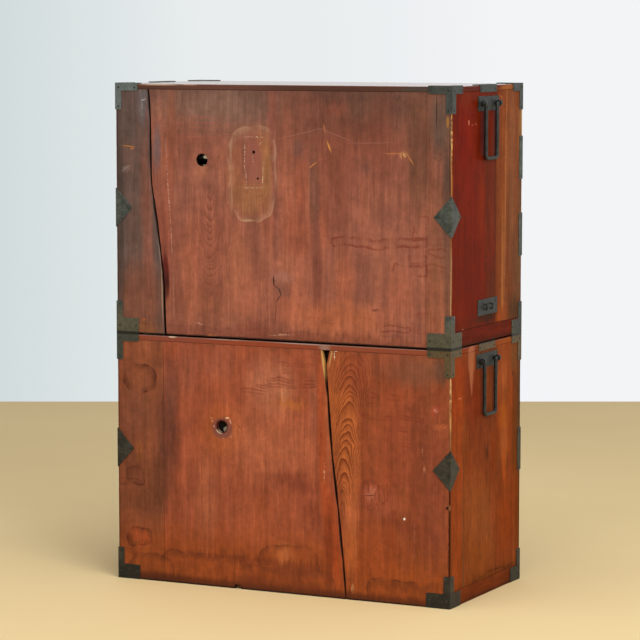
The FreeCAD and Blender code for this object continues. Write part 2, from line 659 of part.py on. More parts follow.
doc.recompute()
for thing in doc.Objects:
    if {"Invalid", "Error"} & set(thing.State):
        raise RuntimeError(f"{thing.Label}: {thing.State}")
for label, piece in nodes.items():
    if piece.Shape.isNull() or not piece.Shape.isValid() or not piece.Shape.Solids:
        raise RuntimeError(f"{label}: no valid solid")

os.makedirs("parts", exist_ok=True)
for label, piece in nodes.items():
    piece.Shape.exportStep(f"parts/{label}.step")
    box = piece.Shape.BoundBox
    print(f"{label}: {len(piece.Shape.Solids)} solids, x {box.XMin:.1f} {box.XMax:.1f}, "
          f"y {box.YMin:.1f} {box.YMax:.1f}, z {box.ZMin:.1f} {box.ZMax:.1f}")
print(len(nodes), "nodes")
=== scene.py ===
import json
import math

import bmesh
import bpy
from mathutils import Matrix, Vector, noise


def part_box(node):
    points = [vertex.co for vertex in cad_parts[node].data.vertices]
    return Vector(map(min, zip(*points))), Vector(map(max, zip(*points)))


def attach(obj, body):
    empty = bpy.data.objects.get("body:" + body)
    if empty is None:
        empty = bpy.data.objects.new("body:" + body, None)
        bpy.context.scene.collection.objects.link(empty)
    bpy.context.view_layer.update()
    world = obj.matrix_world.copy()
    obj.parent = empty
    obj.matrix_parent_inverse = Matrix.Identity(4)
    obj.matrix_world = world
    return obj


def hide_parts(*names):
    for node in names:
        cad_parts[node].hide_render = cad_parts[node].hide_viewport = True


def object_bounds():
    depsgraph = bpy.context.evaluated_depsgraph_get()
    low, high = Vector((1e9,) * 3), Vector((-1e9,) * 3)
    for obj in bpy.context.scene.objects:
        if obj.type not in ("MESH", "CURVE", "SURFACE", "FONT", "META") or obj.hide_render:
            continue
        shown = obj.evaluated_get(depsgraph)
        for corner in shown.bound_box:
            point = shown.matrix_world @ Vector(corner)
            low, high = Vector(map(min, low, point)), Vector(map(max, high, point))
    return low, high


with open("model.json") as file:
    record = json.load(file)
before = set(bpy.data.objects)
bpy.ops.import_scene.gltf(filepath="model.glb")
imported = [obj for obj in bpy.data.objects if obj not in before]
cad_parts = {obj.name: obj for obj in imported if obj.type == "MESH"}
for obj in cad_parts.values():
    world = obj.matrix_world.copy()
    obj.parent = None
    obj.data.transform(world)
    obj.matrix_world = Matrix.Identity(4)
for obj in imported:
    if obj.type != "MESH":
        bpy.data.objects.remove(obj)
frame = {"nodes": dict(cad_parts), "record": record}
cad_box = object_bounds()
cad = frame["nodes"]
body_of = {node: body for body, members in frame["record"]["behaviour"]["bodies"].items() for node in members}

# ------------------------------------------------------------------------------------------- side boards
# Each side is one wide plank of cedar with upright grain, planed by hand, stained with red iron oxide and
# lacquered. The upper section has kept more of its gloss. The arrises have worn down to pale wood.

MM = 0.001
FAR = 1e5
# Half the chest's width and half its depth, the seam between its sections and the underside of each section's
# wood. These and all marks are in millimetres.
SIDE, BACK, SEAM = 400, 190, 546
FOOT = {"lower": 0, "upper": 548}


def linear(code):
    """An sRGB hex colour as linear RGBA."""
    channels = [int(code[i:i + 2], 16) / 255 for i in (1, 3, 5)]
    return [c / 12.92 if c <= 0.04045 else ((c + 0.055) / 1.055) ** 2.4 for c in channels] + [1]


def add(tree, kind, settings=None, feeds=None, out=0):
    """Adds a shader node with its settings, and its inputs as values or links. Gives one of its outputs."""
    node = tree.nodes.new("ShaderNode" + kind)
    for name, value in (settings or {}).items():
        setattr(node, name, value)
    for socket, feed in (feeds or {}).items():
        if isinstance(feed, bpy.types.NodeSocket):
            tree.links.new(feed, node.inputs[socket])
        else:
            node.inputs[socket].default_value = feed
    return node.outputs[out]


def on_face(face, across, up, rest):
    """Puts a place on a face of the chest into three numbers. The axis square to the face gets rest."""
    first, second = ("XYZ".index(axis) for axis in face)
    spot = [rest, rest, rest]
    spot[first], spot[second] = across, up
    return spot


def patched(tree, colour, at, face, patches, broken=None, through=(0, FAR)):
    """Lays soft-edged patches of other tones over a colour, or of numbers over a number, in order. Each is
    across, up, half width, half height, turn in degrees, tone, strength and softness. A broken patch shows only
    where broken is high. through is the middle and half thickness of the patches square to the face."""
    for across, up, wide, high, turn, tone, strength, soft in patches:
        if turn:
            spot = add(tree, "Mapping", {"vector_type": "TEXTURE"},
                       {"Vector": at, "Location": on_face(face, across, up, through[0]),
                        "Rotation": [0 if axis in face else math.radians(turn) for axis in "XYZ"],
                        "Scale": on_face(face, wide, high, through[1])})
        else:
            spot = add(tree, "VectorMath", {"operation": "MULTIPLY_ADD"},
                       {0: at, 1: on_face(face, 1 / wide, 1 / high, 1 / through[1]),
                        2: on_face(face, -across / wide, -up / high, -through[0] / through[1])})
        reach = add(tree, "VectorMath", {"operation": "LENGTH"}, {0: spot}, out=1)
        share = add(tree, "MapRange", {"interpolation_type": "SMOOTHSTEP"},
                    {0: reach, 1: 1 - soft, 2: 1 + soft, 3: strength, 4: 0})
        if broken:
            share = add(tree, "Math", {"operation": "MULTIPLY"}, {0: share, 1: broken})
        if isinstance(tone, str):
            colour = add(tree, "Mix", {"data_type": "RGBA"}, {0: share, 6: colour, 7: linear(tone)}, out=2)
        else:
            colour = add(tree, "Mix", None, {0: share, 2: colour, 3: tone})
    return colour


def tide_marked(tree, colour, at, face, tides, patchy):
    """What dried water leaves: a dark outline, a stain that fades inwards, both broken where patchy is low.
    Each is across, up, half width, half height, corner radius, tone and strength."""
    for across, up, wide, high, corner, tone, strength in tides:
        spot = add(tree, "VectorMath", {"operation": "SUBTRACT"}, {0: at, 1: on_face(face, across, up, 0)})
        spot = add(tree, "VectorMath", {"operation": "ABSOLUTE"}, {0: spot})
        spot = add(tree, "VectorMath", {"operation": "SUBTRACT"},
                   {0: spot, 1: on_face(face, wide - corner, high - corner, FAR)})
        spot = add(tree, "VectorMath", {"operation": "MAXIMUM"}, {0: spot, 1: (0, 0, 0)})
        reach = add(tree, "VectorMath", {"operation": "LENGTH"}, {0: spot}, out=1)
        beyond = add(tree, "Math", {"operation": "SUBTRACT"}, {0: reach, 1: corner})
        off_line = add(tree, "Math", {"operation": "ABSOLUTE"}, {0: beyond})
        line = add(tree, "MapRange", {"interpolation_type": "SMOOTHSTEP"},
                   {0: off_line, 1: 0.4, 2: 3.4, 3: strength * 0.75, 4: 0})
        stain = add(tree, "MapRange", {"interpolation_type": "SMOOTHSTEP"},
                    {0: beyond, 1: -min(corner, 18), 2: 0, 3: 0, 4: strength * 0.5})
        inside = add(tree, "MapRange", None, {0: beyond, 1: 0, 2: 1.5, 3: 1, 4: 0})
        share = add(tree, "Math", {"operation": "MULTIPLY"}, {0: stain, 1: inside})
        share = add(tree, "Math", {"operation": "MAXIMUM"}, {0: share, 1: line})
        share = add(tree, "Math", {"operation": "MULTIPLY"}, {0: share, 1: patchy})
        colour = add(tree, "Mix", {"data_type": "RGBA"}, {0: share, 6: colour, 7: linear(tone)}, out=2)
    return colour


def lacquered_cedar(name, face, grain, tones, heart, patches=(), tides=(), scratches=(), chips=(), ends=(),
                    rim=(), rim_at=(BACK, 5), raw=(), clear=(), knots=(), show_rings=0.12, late_tone="#9c7466",
                    streaky=1.0, roughness=0.5, gloss=0.15, bare="#5b3d29", skin=(SIDE - 0.8, BACK - 0.8, FAR)):
    """Cedar, hand planed, stained red and lacquered: satin, darker in its latewood lines and streaks.
    heart is where the growth rings centre on the face: across, up, how much longer than wide they are, their
    spacing and their lean in degrees. clear and knots are places where the rings show or close. chips are torn
    places, ends and rim are patches on the narrow sides and on the back arris. skin is how far out on each axis
    the stain starts. What lies inside is bare wood, with raw as its patches. All of it is in millimetres."""
    material = bpy.data.materials.new(name)
    material.use_nodes = True
    tree = material.node_tree
    shader = tree.nodes["Principled BSDF"]
    at = add(tree, "VectorMath", {"operation": "SCALE"}, {0: add(tree, "TexCoord", out=3), "Scale": 1000})
    along = [0.03 if axis == grain else 1 for axis in "XYZ"]
    fibre = add(tree, "VectorMath", {"operation": "MULTIPLY"}, {0: at, 1: along})

    # Patches end raggedly along the fibres, and water marks wander.
    torn = add(tree, "TexNoise", None, {"Vector": fibre, "Scale": 0.14, "Detail": 3}, out=1)
    torn = add(tree, "VectorMath", {"operation": "SUBTRACT"}, {0: torn, 1: (0.5, 0.5, 0.5)})
    spread = [46 if axis == grain else 9 for axis in "XYZ"]
    ragged = add(tree, "VectorMath", {"operation": "MULTIPLY_ADD"}, {0: torn, 1: spread, 2: at})
    frayed = add(tree, "VectorMath", {"operation": "MULTIPLY_ADD"}, {0: torn, 1: (4, 4, 4), 2: at})
    wander = add(tree, "TexNoise", None, {"Vector": at, "Scale": 0.022, "Detail": 4}, out=1)
    wander = add(tree, "VectorMath", {"operation": "SUBTRACT"}, {0: wander, 1: (0.5, 0.5, 0.5)})
    wander = add(tree, "VectorMath", {"operation": "MULTIPLY_ADD"}, {0: wander, 1: (26, 26, 26), 2: at})

    # Broad bands along the board, then clouds of a third tone.
    bands = add(tree, "TexNoise", None, {"Vector": fibre, "Scale": 0.04, "Detail": 4, "Roughness": 0.6})
    bands = add(tree, "MapRange", None, {0: bands, 1: 0.34, 2: 0.66})
    cloud = add(tree, "TexNoise", None, {"Vector": ragged, "Scale": 0.009, "Detail": 3})
    cloud = add(tree, "MapRange", None, {0: cloud, 1: 0.45, 2: 0.72, 4: 0.7})
    colour = add(tree, "Mix", {"data_type": "RGBA"}, {0: bands, 6: linear(tones[0]), 7: linear(tones[1])}, out=2)
    colour = add(tree, "Mix", {"data_type": "RGBA"}, {0: cloud, 6: colour, 7: linear(tones[2])}, out=2)
    colour = patched(tree, colour, ragged, face, patches)

    # Growth rings: long ovals round the heart, closed round each knot, dark on their late side.
    across, up, taper, spacing, lean = heart
    leaning = [math.radians(lean) if axis not in face else 0 for axis in "XYZ"]
    oval = add(tree, "Mapping", {"vector_type": "TEXTURE"},
               {"Vector": wander, "Location": on_face(face, across, up, 0), "Rotation": leaning,
                "Scale": on_face(face, taper if face[0] == grain else 1, taper if face[1] == grain else 1, FAR)})
    rings = add(tree, "VectorMath", {"operation": "LENGTH"}, {0: oval}, out=1)
    rings = add(tree, "Math", {"operation": "DIVIDE"}, {0: rings, 1: spacing})
    uneven = add(tree, "TexNoise", {"noise_dimensions": "1D"}, {"W": rings, "Scale": 0.21, "Detail": 1})
    rings = add(tree, "Math", {"operation": "MULTIPLY_ADD"}, {0: uneven, 1: 5, 2: rings})
    for knot_across, knot_up, wide, high, count in knots:
        near = add(tree, "Mapping", {"vector_type": "TEXTURE"},
                   {"Vector": wander, "Location": on_face(face, knot_across, knot_up, 0),
                    "Scale": on_face(face, wide, high, FAR)})
        near = add(tree, "VectorMath", {"operation": "LENGTH"}, {0: near}, out=1)
        near = add(tree, "MapRange", {"interpolation_type": "SMOOTHERSTEP"}, {0: near, 1: 0, 2: 2, 3: count, 4: 0})
        rings = add(tree, "Math", {"operation": "ADD"}, {0: rings, 1: near})
    late = add(tree, "Math", {"operation": "FRACT"}, {0: rings})
    late = add(tree, "Math", {"operation": "POWER"}, {0: late, 1: 2.2})
    seen = patched(tree, show_rings, ragged, face, [(*spot[:5], 1.0, spot[5], 0.6) for spot in clear])
    late = add(tree, "Math", {"operation": "MULTIPLY"}, {0: late, 1: seen})
    ring_tone = add(tree, "Mix", {"data_type": "RGBA", "blend_type": "MULTIPLY"},
                    {0: 1, 6: colour, 7: linear(late_tone)}, out=2)
    colour = add(tree, "Mix", {"data_type": "RGBA"}, {0: late, 6: colour, 7: ring_tone}, out=2)

    # Fine fibre streaks, wider broken ones, and a rubbed, blotchy depth to the lacquer.
    streaks = add(tree, "TexNoise", None, {"Vector": fibre, "Scale": 0.45, "Detail": 5, "Roughness": 0.7})
    streak_tone = add(tree, "MapRange", None,
                      {0: streaks, 1: 0.32, 2: 0.68, 3: 1 - 0.15 * streaky, 4: 1 + 0.14 * streaky})
    short = add(tree, "VectorMath", {"operation": "MULTIPLY"},
                {0: ragged, 1: [0.13 if axis == grain else 1 for axis in "XYZ"]})
    short = add(tree, "TexNoise", None, {"Vector": short, "Scale": 0.08, "Detail": 5, "Roughness": 0.65})
    short_tone = add(tree, "MapRange", None,
                     {0: short, 1: 0.35, 2: 0.65, 3: 1 - 0.17 * streaky, 4: 1 + 0.13 * streaky})
    rubbed = add(tree, "TexNoise", None, {"Vector": at, "Scale": 0.075, "Detail": 8, "Roughness": 0.75})
    rubbed_tone = add(tree, "MapRange", None, {0: rubbed, 1: 0.34, 2: 0.66, 3: 0.84, 4: 1.13})
    smudge = add(tree, "TexNoise", None, {"Vector": wander, "Scale": 0.022, "Detail": 6, "Roughness": 0.6})
    smudge_tone = add(tree, "MapRange", None, {0: smudge, 1: 0.36, 2: 0.64, 3: 0.86, 4: 1.08})
    for tone in (streak_tone, short_tone, rubbed_tone, smudge_tone):
        colour = add(tree, "HueSaturation", None, {"Color": colour, "Value": tone})
    patchy = add(tree, "TexNoise", None, {"Vector": at, "Scale": 0.035, "Detail": 4})
    patchy = add(tree, "MapRange", None, {0: patchy, 1: 0.42, 2: 0.58, 3: 0.15, 4: 1.3})
    colour = tide_marked(tree, colour, wander, face, tides, patchy)
    crumbs = add(tree, "TexNoise", None, {"Vector": at, "Scale": 0.35, "Detail": 2})
    crumbs = add(tree, "MapRange", None, {0: crumbs, 1: 0.44, 2: 0.56})
    colour = patched(tree, colour, frayed, face, scratches, crumbs)
    colour = patched(tree, colour, frayed, face, chips)
    colour = patched(tree, colour, frayed, "YZ", ends)
    colour = patched(tree, colour, frayed, "XZ", rim, None, rim_at)
    specks = add(tree, "TexNoise", None, {"Vector": at, "Scale": 0.22, "Detail": 3})
    specks = add(tree, "MapRange", None, {0: specks, 1: 0.68, 2: 0.74, 3: 0, 4: 0.6})
    colour = add(tree, "Mix", {"data_type": "RGBA"}, {0: specks, 6: colour, 7: linear("#3a2018")}, out=2)
    scuffs = add(tree, "TexNoise", None, {"Vector": ragged, "Scale": 0.13, "Detail": 5, "Roughness": 0.7})
    scuffs = add(tree, "MapRange", None, {0: scuffs, 1: 0.68, 2: 0.8, 3: 0, 4: 0.5})
    colour = add(tree, "Mix", {"data_type": "RGBA"}, {0: scuffs, 6: colour, 7: linear("#b08470")}, out=2)

    # Only the outer skin is stained.
    outer = add(tree, "VectorMath", {"operation": "ABSOLUTE"}, {0: at})
    outer = add(tree, "VectorMath", {"operation": "SUBTRACT"}, {0: outer, 1: skin})
    parts = tree.nodes.new("ShaderNodeSeparateXYZ")
    tree.links.new(outer, parts.inputs[0])
    outer = add(tree, "Math", {"operation": "MAXIMUM"}, {0: parts.outputs[0], 1: parts.outputs[1]})
    outer = add(tree, "Math", {"operation": "MAXIMUM"}, {0: outer, 1: parts.outputs[2]})
    outer = add(tree, "MapRange", None, {0: outer, 1: -0.5, 2: 0.2})
    plain = patched(tree, linear(bare), frayed, face, raw)
    plain = add(tree, "HueSaturation", None, {"Color": plain, "Value": streak_tone})
    colour = add(tree, "Mix", {"data_type": "RGBA"}, {0: outer, 6: plain, 7: colour}, out=2)
    tree.links.new(colour, shader.inputs["Base Color"])

    relief = add(tree, "Math", {"operation": "MULTIPLY_ADD"}, {0: late, 1: 0.6, 2: streaks})
    relief = add(tree, "Math", {"operation": "MULTIPLY_ADD"}, {0: rubbed, 1: 0.5, 2: relief})
    bump = add(tree, "Bump", None, {"Strength": 0.35, "Distance": 0.4 * MM, "Height": relief})
    tree.links.new(bump, shader.inputs["Normal"])
    matt = add(tree, "MapRange", None, {0: rubbed, 1: 0.3, 2: 0.7, 3: roughness - 0.1, 4: roughness + 0.12})
    tree.links.new(matt, shader.inputs["Roughness"])
    shader.inputs["IOR"].default_value = 1.5
    shader.inputs["Specular IOR Level"].default_value = gloss
    return material


def aged(node, finish, step, reach, rows=2, wear=0.0, sway=0.0, bites=(), mouths=(), corners=0.0):
    """A copy of a CAD piece as a hand would have left it. Its arrises are cut into short lengths of step,
    rounded by reach and worn unevenly, and it sways a little within the chest's own faces. A bite is a place,
    how far it reaches on each axis and how far it pushes the arris in. A mouth is a hole in the back face and
    how far its rim has crumbled. corners rounds the outline of a plate."""
    bm = bmesh.new()
    bm.from_mesh(cad[node].data)
    bmesh.ops.remove_doubles(bm, verts=bm.verts, dist=0.002 * MM)
    bmesh.ops.dissolve_limit(bm, angle_limit=math.radians(1), verts=bm.verts, edges=bm.edges)
    if corners:
        snips = [edge for edge in bm.edges if edge.is_manifold and edge.calc_length() < 1.7 * MM
                 and edge.calc_face_angle_signed(0) > math.radians(60)]
        bmesh.ops.bevel(bm, geom=snips, offset=corners, segments=3, profile=0.5, affect="EDGES",
                        clamp_overlap=True, material=-1)
    for across, up, radius, crumbled in mouths:
        rim = [edge for edge in bm.edges if all(
            vert.co.y > (BACK - 0.1) * MM and math.dist((vert.co.x, vert.co.z), (across * MM, up * MM)) < radius * MM
            for vert in edge.verts)]
        bmesh.ops.bevel(bm, geom=rim, offset=crumbled * MM, segments=4, profile=0.5, affect="EDGES",
                        clamp_overlap=False, material=-1)
    if bites:
        lows, highs = zip(*((place[2] - span[2], place[2] + span[2]) for place, span, push in bites))
        slices = [((0, (bites[0][0][1] - 10) * MM, 0), (0, 1, 0))]
        slices += [((0, 0, z * MM), (0, 0, 1)) for z in range(int(min(lows)), int(max(highs)), 5)]
        for place, square in slices:
            bmesh.ops.bisect_plane(bm, geom=bm.verts[:] + bm.edges[:] + bm.faces[:], plane_co=place,
                                   plane_no=square)
    arrises = [edge for edge in bm.edges if edge.is_manifold and edge.calc_length() > 2.5 * reach
               and edge.calc_face_angle_signed(0) > math.radians(35)]
    for edge in arrises:
        edge.seam = True
        cuts = int(edge.calc_length() / step)
        if cuts:
            bmesh.ops.bisect_edges(bm, edges=[edge], cuts=cuts)
    worn = bmesh.ops.bevel(bm, geom=[edge for edge in bm.edges if edge.seam], offset=reach, segments=rows,
                           profile=0.5, affect="EDGES", clamp_overlap=False, material=-1)
    bm.normal_update()
    flat = max(face.calc_area() for face in worn["faces"])
    for vert in worn["verts"]:
        if wear and max(face.calc_area() for face in vert.link_faces) <= flat:
            dent = max(0, noise.noise(vert.co / (9 * MM)) + 0.6 * noise.noise(vert.co / (2.5 * MM)))
            vert.co -= vert.normal * wear * dent
    for vert in bm.verts:
        if sway:
            push = noise.noise_vector(vert.co / (16 * MM)) * sway
            for axis, face in enumerate((SIDE, BACK)):
                if abs(abs(vert.co[axis]) - face * MM) < 3 * MM:
                    push[axis] = 0
            if min(abs(vert.co.z - level) for level in (0, cad_box[1].z, SEAM * MM)) < 3 * MM:
                push.z = 0
            vert.co += push
        for place, span, push in bites:
            off = Vector([(vert.co[i] - place[i] * MM) / (span[i] * MM) for i in range(3)])
            if off.length < 1:
                torn = 0.55 + 0.9 * noise.noise(vert.co / (5 * MM))
                vert.co += Vector(push) * MM * (1 - off.length_squared) * max(0, torn)
    mesh = bpy.data.meshes.new(node + "_aged")
    bm.to_mesh(mesh)
    bm.free()
    mesh.shade_smooth()
    piece = bpy.data.objects.new(node + "_aged", mesh)
    bpy.context.scene.collection.objects.link(piece)
    piece.modifiers.new("flat faces", "WEIGHTED_NORMAL").keep_sharp = False
    mesh.materials.append(finish)
    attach(piece, body_of[node])
    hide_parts(node)
    return piece


# The worn places down the back left arris: the raised lip has split away and left pale, torn wood.
UPPER_TEAR = [((-SIDE, BACK, z), (6, 9, span), (depth, -depth * 0.6, 0))
              for z, span, depth in ((1016, 16, 3.0), (990, 24, 2.2), (955, 22, 1.8), (925, 18, 2.2), (760, 30, 0.9),
                                     (690, 40, 0.8), (640, 22, 0.9))]
LOWER_TEAR = [((-SIDE, BACK, z), (7, 9, span), (depth, -depth * 0.7, 0))
              for z, span, depth in ((470, 18, 1.6), (448, 12, 3.0), (425, 20, 2.4), (400, 16, 1.4), (214, 9, 3.4),
                                     (330, 14, 0.8))]
upper_side_tones = [
    (120, 980, 40, 90, 0, "#791400", 0.6, 0.7), (118, 1064, 30, 22, 0, "#7c2d13", 0.6, 0.6),
    (62, 1073, 26, 16, 0, "#6d230b", 0.6, 0.6), (90, 880, 26, 120, 0, "#7f1f00", 0.5, 0.7),
    (90, 700, 44, 110, 0, "#681c00", 0.5, 0.7), (32, 977, 16, 60, 0, "#4c0800", 0.7, 0.6),
    (30, 850, 20, 90, 0, "#822a00", 0.6, 0.7), (28, 723, 14, 120, 0, "#772000", 0.5, 0.7),
    (2, 900, 12, 240, 0, "#5e280c", 0.6, 0.7), (-24, 850, 14, 110, 0, "#743013", 0.7, 0.7),
    (-26, 650, 22, 60, 0, "#5e2d13", 0.7, 0.7), (-44, 900, 7, 280, 0, "#4b2610", 0.55, 0.7),
    (-122, 820, 72, 420, 0, "#82441f", 0.9, 0.2), (-60, 820, 12, 300, 0, "#7d3c12", 0.7, 0.6),
    (-86, 820, 12, 330, 0, "#8d4415", 0.7, 0.6), (-84, 700, 5, 130, 0, "#a96933", 0.8, 0.5),
    (-97, 850, 3, 260, 1, "#aa6a38", 0.6, 0.6), (-105, 930, 9, 150, 0, "#955527", 0.6, 0.6),
    (-118, 700, 6, 200, 0, "#6e3710", 0.6, 0.6), (-134, 960, 16, 130, 0, "#8b5433", 0.7, 0.6),
    (-133, 790, 14, 110, 0, "#865331", 0.7, 0.6), (-138, 650, 20, 80, 0, "#6d3a1b", 0.7, 0.6),
    (-160, 900, 14, 120, 0, "#824a2b", 0.7, 0.6), (-160, 700, 16, 120, 0, "#6d4529", 0.7, 0.6),
    (-178, 1000, 9, 70, 0, "#986639", 0.7, 0.6), (-180, 740, 9, 170, 0, "#6b5236", 0.7, 0.6),
    (-185, 1030, 3.4, 60, 0, "#bf9656", 0.8, 0.3), (10, 598, 66, 9, 0, "#311f0e", 0.8, 0.5),
    (5, 612, 40, 8, 0, "#4b230c", 0.6, 0.6), (-66, 596, 16, 16, 0, "#994308", 0.7, 0.6),
    (-100, 596, 30, 20, 0, "#8e4315", 0.6, 0.6), (-150, 600, 34, 30, 0, "#48311b", 0.7, 0.6),
    (100, 592, 90, 10, 0, "#622004", 0.5, 0.6),
]
upper_side_scratches = [
    (102, 1015, 2.2, 6, 0, "#eba07a", 0.95, 0.4), (84, 1011, 3, 2, 0, "#c66a48", 0.9, 0.4),
    (65, 1011, 4, 1.8, 0, "#d0795a", 0.9, 0.4), (76, 776, 2, 3.4, 0, "#a8523c", 0.8, 0.4),
    (-72, 1066, 9, 2, 20, "#d07a46", 0.7, 0.5), (-158, 557, 14, 1.2, 12, "#e8e2d8", 0.9, 0.5),
    (-176, 562, 10, 1.0, -20, "#e8e2d8", 0.8, 0.5), (-100, 830, 0.9, 250, 0.4, "#c08f66", 0.6, 0.5),
    (-122, 900, 0.9, 200, 0.3, "#5a3220", 0.6, 0.5), (-142, 850, 0.9, 250, -0.3, "#9c6a4a", 0.5, 0.5),
]
upper_side_chips = [
    (190, 985, 2.2, 46, 0, "#d9a877", 0.95, 0.3), (190, 925, 1.6, 30, 0, "#d98f5c", 0.9, 0.4),
    (190, 880, 0.9, 40, 0, "#a8683f", 0.7, 0.5), (190, 700, 1.5, 84, 0, "#b98a66", 0.8, 0.4),
    (190, 640, 1.6, 22, 0, "#d2a27c", 0.8, 0.4), (190, 818, 1.2, 30, 0, "#8c5a3c", 0.7, 0.5),
    (64, 581, 3, 1.6, 0, "#dcb496", 0.9, 0.4), (128, 583, 6, 1.4, 0, "#c08468", 0.8, 0.5),
    (0, 582.6, 200, 1.3, 0, "#2a0f08", 0.8, 0.5), (-189, 900, 1.2, 160, 0, "#33231a", 0.7, 0.5),
]
lower_side_tones = [
    (155, 280, 32, 250, 0, "#98441c", 0.8, 0.4), (150, 450, 36, 60, 0, "#983b12", 0.6, 0.6),
    (180, 470, 14, 60, 0, "#812e12", 0.5, 0.6), (150, 90, 30, 60, 0, "#8e4015", 0.6, 0.6),
    (128, 500, 22, 40, 0, "#8d3818", 0.6, 0.6), (60, 420, 50, 70, 0, "#7b2f15", 0.8, 0.6),
    (20, 340, 44, 50, 0, "#7b381b", 0.7, 0.6), (60, 290, 50, 60, 0, "#853d1b", 0.7, 0.6),
    (60, 190, 56, 70, 0, "#954f24", 0.7, 0.7), (0, 150, 50, 70, 0, "#8e4d24", 0.7, 0.7),
    (40, 80, 70, 40, 0, "#88461a", 0.7, 0.6), (-40, 300, 14, 60, 0, "#82340c", 0.6, 0.6),
    (-40, 180, 16, 60, 0, "#8a401e", 0.6, 0.6), (-62, 430, 16, 50, 0, "#933f11", 0.7, 0.6),
    (-98, 480, 40, 56, 0, "#984a20", 0.8, 0.6), (-98, 459, 16, 26, 0, "#a8582a", 0.7, 0.6),
    (-70, 360, 12, 50, 0, "#953c0c", 0.6, 0.6), (-94, 372, 22, 40, 0, "#ae581a", 0.7, 0.6),
    (-102, 318, 24, 36, 0, "#a85728", 0.8, 0.6), (-101, 262, 12, 34, 0, "#aa4f18", 0.7, 0.6),
    (-130, 410, 14, 60, 0, "#9b4612", 0.6, 0.6), (-130, 325, 12, 50, 0, "#994212", 0.6, 0.6),
    (-112, 150, 50, 90, 0, "#903c0f", 0.7, 0.7), (-153, 500, 18, 40, 0, "#724623", 0.8, 0.6),
    (-156, 330, 12, 110, 0, "#693308", 0.8, 0.6), (-178, 400, 12, 130, 0, "#5e3b1e", 0.85, 0.6),
    (-178, 180, 12, 110, 0, "#713408", 0.7, 0.6), (-188, 280, 5, 260, 0, "#402e18", 0.85, 0.5),
    (-160, 200, 12, 60, 0, "#82360f", 0.6, 0.6), (-3, 314, 10, 16, 0, "#592f1a", 0.7, 0.6),
    (-5, 303, 4, 6, 0, "#452515", 0.7, 0.5), (0, 38, 190, 10, 0, "#70340f", 0.6, 0.5),
    (-148, 458, 6, 5, 0, "#4d280f", 0.7, 0.6), (2, 520, 60, 14, 0, "#63371e", 0.6, 0.6),
]
lower_side_scratches = [
    (-57, 66, 1.4, 36, 0, "#33170c", 0.95, 0.5), (-58, 42, 2.0, 12, 0, "#2a140c", 0.9, 0.5),
    (60, 38, 14, 2.6, 8, "#33200f", 0.85, 0.6), (20, 40, 26, 2.2, 0, "#3d2416", 0.8, 0.6),
    (-30, 45, 24, 2.4, 6, "#33200f", 0.8, 0.6), (-75, 44, 28, 4, 4, "#33200f", 0.8, 0.6),
    (-130, 39, 34, 3, -4, "#2c1c10", 0.85, 0.6), (141, 440, 7, 1.3, 0, "#e09672", 0.85, 0.5),
    (148, 86, 6, 10, 0, "#4f2a18", 0.6, 0.6), (-168, 280, 1.2, 110, 0, "#4a2a10", 0.6, 0.6),
    (30, 200, 1.0, 170, 0.3, "#5e3019", 0.5, 0.5), (75, 230, 0.9, 120, -0.3, "#5e3019", 0.5, 0.5),
    (-20, 240, 0.9, 190, 0, "#5e2c14", 0.4, 0.5), (120, 450, 1.0, 60, 0.5, "#6a2614", 0.5, 0.5),
]
lower_side_chips = [
    (100, 480, 16, 44, 0, "#702c16", 0.6, 0.6), (82, 516, 17, 34, 0, "#a5613f", 0.8, 0.3),
    (81, 484, 9, 28, 0, "#a5603f", 0.8, 0.3), (80, 456, 4, 16, 0, "#a05a3c", 0.8, 0.4),
    (66, 520, 5, 26, 0, "#8c4a30", 0.6, 0.6),
    (120, 300, 0.9, 70, 0, "#3c1a0e", 0.8, 0.4), (119, 190, 1.2, 80, 0, "#220e08", 0.95, 0.4),
    (118, 80, 1.7, 56, 0, "#1a0a05", 1, 0.3), (190, 452, 3.6, 34, 0, "#e3b07a", 0.95, 0.3),
    (190, 478, 2.4, 16, 0, "#c8986c", 0.9, 0.4), (190, 405, 2.2, 24, 0, "#d6965a", 0.9, 0.4),
    (190, 360, 1.2, 34, 0, "#a07a5c", 0.7, 0.5), (190, 150, 1.4, 130, 0, "#24120c", 0.8, 0.5),
    (0, 34.4, 200, 1.0, 0, "#3a1a0e", 0.7, 0.5), (-189, 290, 1.2, 240, 0, "#2a1e14", 0.7, 0.5),
]
WORN_LACQUER = dict(gloss=0.012, bare="#7a573b")
